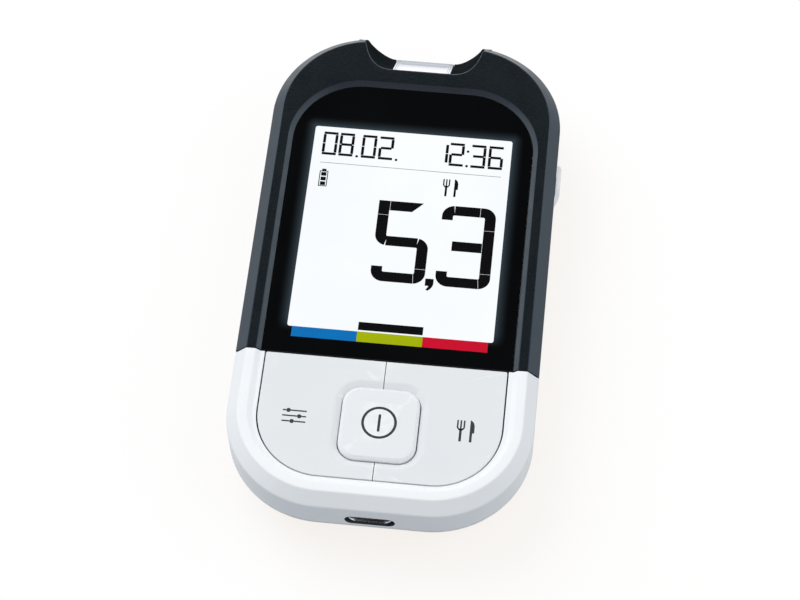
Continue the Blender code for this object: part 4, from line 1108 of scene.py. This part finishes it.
# Lit floor of the notch: a wedge down the scoop's slope, with a flared slot for the strip. The cut
# for the slot starts at cutBack; its flare gives how far out of the slope each ring is and its growth.
guideLook = {
    "half": 5.5, "back": 41.2, "step": 42.65, "low": 9.4, "sideCut": (0.15, 0.12), "columns": 21,
    "rounds": (0.05, 0.05, 0.05, 0.2, 0.1), "slotHalf": 4.1, "slotLow": 10.8, "slotHigh": 12.0,
    "slotCorner": 0.25, "slotRows": (5, 2), "slotAt": 45.83, "cutBack": 39.0,
    "flare": ((-1.0, 0.0), (-0.5, 0.1), (0.0, 0.3), (2.0, 0.9)),
    # Painted shade: base colours darker towards the lower edge, dark rib stripes near both ends and dark
    # side faces
    "litBand": (8.8, 15.2), "ribPitch": 0.34, "ribEdge": (0.2, 0.9), "ribBand": (4.65, 4.8),
    "ribShare": 0.75, "sideShadeBand": (5.38, 5.46), "lavenderTone": 0.12, "lavenderColour": (0.50, 0.50, 0.60),
    "glow": ((0.01, 0.01, 0.02), (0.32, 0.32, 0.34)), "colours": ((0.34, 0.37, 0.42), (0.70, 0.70, 0.74)),
    "ribShadeColour": (0.05, 0.055, 0.08), "rough": (0.35, 0.45),
    "fixed": {"Emission Strength": 1.0, "Specular IOR Level": 0.2},
}


# Glow and base colour run from the dim lower edge to the lit upper one, the darker base colour being painted
# shade; dark stripes near both ends are painted shade of fine ribs, and dark side faces are painted shade
def guideMaterial():
    g = guideLook
    material, kit, shader = newMaterial("lit guide")
    place = kit.place()
    side, lit = kit.math("ABSOLUTE", place[0]), kit.band(place[2], *g["litBand"])
    # Dark stripes near both ends, the shade of fine ribs, and dark side faces: painted shade
    ribShade = kit.math("COSINE", kit.math("MULTIPLY", side, 2 * math.pi / (g["ribPitch"] * mm)))
    ribShade = kit.math("MULTIPLY", kit.span(ribShade, *g["ribEdge"]), kit.band(side, *g["ribBand"]))
    ribShade = kit.math("MULTIPLY", ribShade, g["ribShare"])
    ribShade = kit.math("MAXIMUM", ribShade, kit.band(side, *g["sideShadeBand"]))
    kit.feed(shader.inputs["Emission Color"], kit.mix(ribShade, kit.mix(lit, *g["glow"]), (0.0, 0.0, 0.0)))
    marks = grainMarks(kit, shader, grainLook["Spread"], g["rough"])
    # A lavender tint that wanders with the broad noise
    lavenderTone = kit.math("MULTIPLY", marks.outputs["Tone"], g["lavenderTone"])
    # Base colour darker towards the lower edge: painted shade
    plain = kit.mix(lavenderTone, kit.mix(lit, *g["colours"]), g["lavenderColour"])
    kit.feed(shader.inputs["Base Color"], kit.mix(ribShade, plain, g["ribShadeColour"]))
    setFixed(shader, g["fixed"])
    return material


# Side outline carried across in X, drawn in towards its middle at both ends
def buildGuide():
    g, h, (aside, pull) = guideLook, heights, guideLook["sideCut"]
    fall = (h["crest"] - h["coverLow"]) / (notchLow[1] - notchTop[1])
    side = np.array([
        (g["back"], g["low"]), (g["step"], g["low"]), (g["step"], h["coverLow"]),
        (case["end"], h["coverLow"]), (g["back"], h["crest"] - (g["back"] - notchTop[1]) * fall),
    ])
    across = np.linspace(-g["half"] + aside, g["half"] - aside, g["columns"])
    x = np.concatenate([[-g["half"]], across, [g["half"]]])
    shrink = np.array([pull] + [0.0] * g["columns"] + [pull])[:, None, None]
    inwards = side.mean(axis=0) - side
    ring = side[None] + inwards[None] / np.linalg.norm(inwards, axis=1)[None, :, None] * shrink
    rails = np.concatenate([np.broadcast_to(x[:, None, None], (len(x), 5, 1)), ring], axis=2)
    part = gridPart(filleted(rails, g["rounds"], 5), False)
    guide = addPiece("portGuide", [part], "case", guideMaterial(), ["port_light_guide"])
    rings, corner = [], g["slotCorner"]
    for y, grow in ((g["cutBack"], 0.0), *[(g["slotAt"] + out, grow) for out, grow in g["flare"]]):
        low, high = g["slotLow"], g["slotHigh"] + grow
        loop = roundedLoop(g["slotHalf"] + grow, low, high, corner, corner, *g["slotRows"])
        rings.append(np.column_stack([loop[:, 0], np.full(len(loop), y), loop[:, 1]]))
    carve(guide, gridPart(np.stack(rings), False))


# Thumb slide on the wall: a wedge with a long ramp at its lower end, and the stem that carries it.
# Its levels are heights over the slot's middle, each drawn in by its own amount.
slideLook = {
    "inner": 27.05, "outer": 27.85, "low": 17.85, "high": 24.95, "ramp": 2.1, "topRamp": 0.4,
    "levels": ((-2.0, 0.28), (-1.9, 0.08), (-1.6, 0.0), (1.6, 0.0), (1.9, 0.08), (2.0, 0.28)),
    "rounds": (0, 0.6, 0.25, 0), "rowsAfter": ((1, 8),),
    "stem": {"from": 24.5, "into": 0.25, "low": 19.9, "high": 22.9, "half": 0.9},
}


# Plan outline of the wedge at each level, stacked and rounded
def buildSlide():
    s, stem, middle = slideLook, slideLook["stem"], heights["slot"]
    outline = np.array([
        (s["inner"], s["low"]), (s["outer"], s["low"] + s["ramp"]),
        (s["outer"], s["high"] - s["topRamp"]), (s["inner"], s["high"]),
    ])
    rings = []
    for up, pull in s["levels"]:
        inwards = np.array([(0, pull), (-pull, 0), (-pull, 0), (0, -pull)])
        rings.append(lift(outline + inwards, middle + up))
    part = gridPart(filleted(np.stack(rings), s["rounds"], 6, s["rowsAfter"]), False)
    addPiece("thumbSlide", [part], "ejector", whiteShell, ["ejector_slide"])
    near, far = (stem["from"], stem["low"]), (s["inner"] + stem["into"], stem["high"])
    part = boxPart((*near, middle - stem["half"]), (*far, middle + stem["half"]))
    addPiece("slideStem", [part], "ejector", innerWhite)


buildGuide()
buildSlide()
print("port and slide made")

steel = surface("nickel steel", {
    "colour": (0.60, 0.61, 0.62), "tone": (0.52, 0.53, 0.55), "edge": (0.74, 0.74, 0.75),
    "rough": (0.22, 0.36), "scale": 2600.0, "spread": 300.0, "bump": 0.15, "depth": 0.006,
    "fixed": {"Metallic": 1.0},
})
gold = surface("gold contact", {
    "colour": (0.83, 0.60, 0.25), "tone": (0.76, 0.54, 0.22), "edge": (0.90, 0.72, 0.40),
    "rough": (0.20, 0.32), "scale": 3000.0, "spread": 260.0, "bump": 0.1, "depth": 0.004,
    "fixed": {"Metallic": 1.0},
})
boardGreen = surface("board green", {
    "colour": (0.008, 0.11, 0.045), "tone": (0.012, 0.15, 0.065), "edge": (0.20, 0.19, 0.11),
    "rough": (0.28, 0.42), "scale": 1500.0, "spread": 500.0, "bump": 0.3, "depth": 0.015,
})
chipBlack = surface("chip black", {
    "colour": (0.016, 0.016, 0.017), "tone": (0.026, 0.026, 0.027), "edge": (0.06, 0.06, 0.06),
    "rough": (0.45, 0.62), "scale": 5000.0, "spread": 300.0, "bump": 0.4, "depth": 0.012,
})
rubber = surface("connector rubber", {
    "colour": (0.29, 0.29, 0.33), "tone": (0.20, 0.20, 0.23), "edge": (0.38, 0.38, 0.42),
    "rough": (0.70, 0.85), "scale": 2400.0, "spread": 900.0, "bump": 0.4, "depth": 0.02,
})

# Case screws: turned heads with a cross recess pressed into them
screwLook = {
    "head": 1.7, "headLow": 0.9, "headHigh": 2.1, "shank": 0.9, "top": 12.0, "count": 96,
    "radii": (0.03, 0.1, 0.18, 0.26, 0.34, 0.45, 0.6, 0.75, 0.9, 1.0, 1.08, 1.2, 1.4, 1.55, 1.66, 1.7),
    "recess": 0.75, "arm": 0.24, "reach": 1.05, "ease": 0.12, "floor": (1.25, 0.6),
    "dome": 0.16, "domeFrom": 1.3, "domeRun": 0.4,
}


# Head as rings about the axis: height = low + recess, a smooth cross that gets shallower outwards,
# + dome ((radius - domeFrom) / domeRun)^2 near the rim
def screwPart(x, y):
    s = screwLook
    angle = np.linspace(0, 2 * math.pi, s["count"], endpoint=False)[:, None]
    radius = np.array(s["radii"])[None]
    across = np.minimum(np.abs(radius * np.sin(angle)), np.abs(radius * np.cos(angle)))
    inArm = np.clip((s["arm"] + s["ease"] / 2 - across) / s["ease"], 0, 1)
    inArm = inArm * np.clip((s["reach"] - radius) / s["ease"], 0, 1)
    deepest, taper = s["floor"]
    z = s["headLow"] + inArm * s["recess"] * np.clip(deepest - radius * taper, 0, 1)
    z = z + s["dome"] * np.clip((radius - s["domeFrom"]) / s["domeRun"], 0, 1) ** 2
    radii = np.concatenate([radius[0], [s["head"], s["shank"], s["shank"]]])
    shank = np.broadcast_to([s["headHigh"], s["headHigh"], s["top"]], (s["count"], 3))
    level = np.concatenate([z, shank], axis=1)
    grid = np.stack([x + radii[None] * np.cos(angle), y + radii[None] * np.sin(angle), level], axis=-1)
    return gridPart(grid, True, False)


for index, (x, y) in enumerate(screwPlaces, 1):
    addPiece(f"caseScrew{index}", [screwPart(x, y)], "case", steel, [f"screw_{index}"], sharp=40)

# Coin cells: a can with rolled edges, stepped in round its cap
cellLook = {
    "pitch": 21.2, "y": -13.5, "count": 96,
    "profile": (
        (0.02, 5.1), (8.7, 5.1), (8.9, 5.06), (9.0, 4.95), (9.02, 4.8), (9.3, 4.72), (9.75, 4.68),
        (9.93, 4.58), (10.0, 4.4), (10.0, 2.2), (9.94, 2.02), (9.8, 1.92), (9.6, 1.9), (0.02, 1.9),
    ),
}
for name, side in (("coin_cell_left", -1), ("coin_cell_right", 1)):
    part = turnedPart(cellLook["profile"], side * cellLook["pitch"] / 2, cellLook["y"], cellLook["count"])
    addPiece(name + "_can", [part], "case", steel, [name])

# Rolled mouth of the USB shell: trapezium rings from the shell's front out to the lip and back
# inside it; each ring has its Y and how far it is drawn in
usbLook = {
    "half": 3.74, "rise": 1.14, "taper": 0.85, "corner": 0.3,
    "rings": ((-48.16, 0.0), (-48.72, 0.0), (-48.82, 0.08), (-48.82, 0.19), (-48.70, 0.25), (-48.16, 0.25)),
}


# Each ring is a trapezium drawn in by its own amount, with rounded corners
def buildUsbLip():
    u, rings = usbLook, []
    for y, shrink in u["rings"]:
        half, rise = u["half"] - shrink, u["rise"] - shrink
        low = half - u["taper"]
        corners = ((-half, rise), (-half, 0.0), (-low, -rise), (low, -rise), (half, 0.0), (half, rise))
        loop = roundedPath(((0.0, rise), *corners, (0.0, rise)), [u["corner"]] * 6)[:-1]
        rings.append(np.column_stack([loop[:, 0], np.full(len(loop), y), loop[:, 1] + heights["socket"]]))
    addPiece("usbLip", [gridPart(np.stack(rings, axis=1))], "case", steel)


buildUsbLip()

# CAD nodes that keep their own shape
carried = {
    "usb_shell": steel, "battery_contact_negative": steel, "battery_contact_positive": steel,
    "strip_contact_1": gold, "strip_contact_2": gold, "strip_contact_3": gold,
    "circuit_board": boardGreen, "processor": chipBlack, "usb_tongue": chipBlack,
    "clock_crystal": steel, "lcd_connector": rubber, "set_switch": chipBlack,
    "mark_switch": chipBlack, "power_switch": chipBlack, "strip_connector": innerWhite,
    "lcd_frame": innerWhite, "lcd_backlight": innerWhite, "port_lamp": innerWhite,
    "lcd_glass": keyWhite, "ejector_pusher": innerWhite, "battery_door": whiteShell,
}
for name, material in carried.items():
    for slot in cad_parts[name].material_slots:
        slot.material = material
print("inner parts made")

# Stage: pale floor that shows white to the camera but keeps the object's shadow; the sky's strength
# in reflections runs from low to high over a band of heights
stageLook = {
    "size": 3.0, "floor": (0.16, 0.22, 0.28), "lift": (0.842, 0.780, 0.718), "spread": 20.0,
    "rough": (0.8, 0.9), "world": 0.62, "low": 1.7, "high": 0.025, "band": (0.15, 0.62),
    "sky": (0.97, 0.985, 1.0),
}


# Floor square: its emission adds what its own shade lacks to white, for rays that show it directly
def buildStage():
    s, size = stageLook, stageLook["size"]
    mesh = bpy.data.meshes.new("floor")
    corners = [(-size, -size, 0), (size, -size, 0), (size, size, 0), (-size, size, 0)]
    mesh.from_pydata(corners, [], [(0, 1, 2, 3)])
    floor = bpy.data.objects.new("floor", mesh)
    bpy.context.scene.collection.objects.link(floor)
    material, kit, shader = newMaterial("floor white")
    grainMarks(kit, shader, s["spread"], s["rough"])
    rays = kit.add("ShaderNodeLightPath").outputs
    seen = kit.math("MAXIMUM", rays["Is Camera Ray"], rays["Is Glossy Ray"])
    seen = kit.math("MAXIMUM", seen, rays["Is Transmission Ray"])
    kit.feed(shader.inputs["Emission Color"], kit.mix(seen, (0, 0, 0), s["lift"]))
    setFixed(shader, {"Base Color": rgb(s["floor"]), "Specular IOR Level": 0.0, "Emission Strength": 1.0})
    mesh.materials.append(material)


# World: even light for the object, white behind it, and a darker ceiling in its reflections
def buildWorld():
    s, world = stageLook, bpy.data.worlds.new("studio")
    bpy.context.scene.world = world
    world.use_nodes = True
    kit, sky = Nodes(world.node_tree), world.node_tree.nodes["Background"]
    rays = kit.add("ShaderNodeLightPath").outputs
    towards = kit.add("ShaderNodeTexCoord").outputs["Generated"]
    height = kit.add("ShaderNodeSeparateXYZ", {0: towards}).outputs[2]
    reflected = kit.span(height, *s["band"], s["low"], s["high"], True)
    inputs = {0: rays["Is Glossy Ray"], 2: s["world"], 3: reflected}
    level = kit.add("ShaderNodeMix", inputs).outputs[0]
    level = kit.add("ShaderNodeMix", {0: rays["Is Camera Ray"], 2: level, 3: 1.0}).outputs[0]
    kit.feed(sky.inputs["Strength"], level)
    sky.inputs["Color"].default_value = rgb(s["sky"])


# Two round lamps, each with its direction from the object and its power
lampLook = {"distance": 1.3, "size": 1.2, "colour": (1.0, 0.995, 0.985)}
lamps = (("key lamp", (-0.49, 0.41, 0.77), 8.7), ("side lamp", (0.80, -0.10, 0.59), 2.8))


# A lamp stands its distance off along its direction and faces the object
def buildLamps():
    for name, direction, power in lamps:
        light = bpy.data.lights.new(name, "AREA")
        light.shape, light.size, light.energy = "DISK", lampLook["size"], power
        light.color = lampLook["colour"]
        lamp = bpy.data.objects.new(name, light)
        lamp.visible_glossy = False
        bpy.context.scene.collection.objects.link(lamp)
        towards = np.array(direction) / np.linalg.norm(direction)
        across = np.cross((0, 0, 1), towards)
        across /= np.linalg.norm(across)
        turn = np.stack([across, np.cross(towards, across), towards], axis=1)
        place = Matrix.Translation(towards * lampLook["distance"])
        lamp.matrix_world = place @ Matrix(turn.tolist()).to_4x4()


cameraLook = {
    "place": (26.942, -214.732, 385.637), "turn": (-0.509895, -0.06105987, -0.08486934),
    "lens": 106.6853, "sensor": 36.0, "clip": (0.01, 20.0),
}


# Camera of the photograph: its axes are the rows of Rz Ry Rx for the three turns above
def buildCamera():
    c = cameraLook
    x, y, z = c["turn"]
    turn = Matrix.Rotation(z, 3, "Z") @ Matrix.Rotation(y, 3, "Y") @ Matrix.Rotation(x, 3, "X")
    data = bpy.data.cameras.new("camera")
    data.lens, data.sensor_width, data.sensor_fit = c["lens"], c["sensor"], "HORIZONTAL"
    data.clip_start, data.clip_end = c["clip"]
    camera = bpy.data.objects.new("camera", data)
    bpy.context.scene.collection.objects.link(camera)
    place = Matrix.Translation([value * mm for value in c["place"]])
    camera.matrix_world = place @ turn.transposed().to_4x4()
    bpy.context.scene.camera = camera


buildStage()
buildWorld()
buildLamps()
buildCamera()
bpy.context.scene.view_settings.view_transform = "Standard"
print("stage, lamps and camera made")
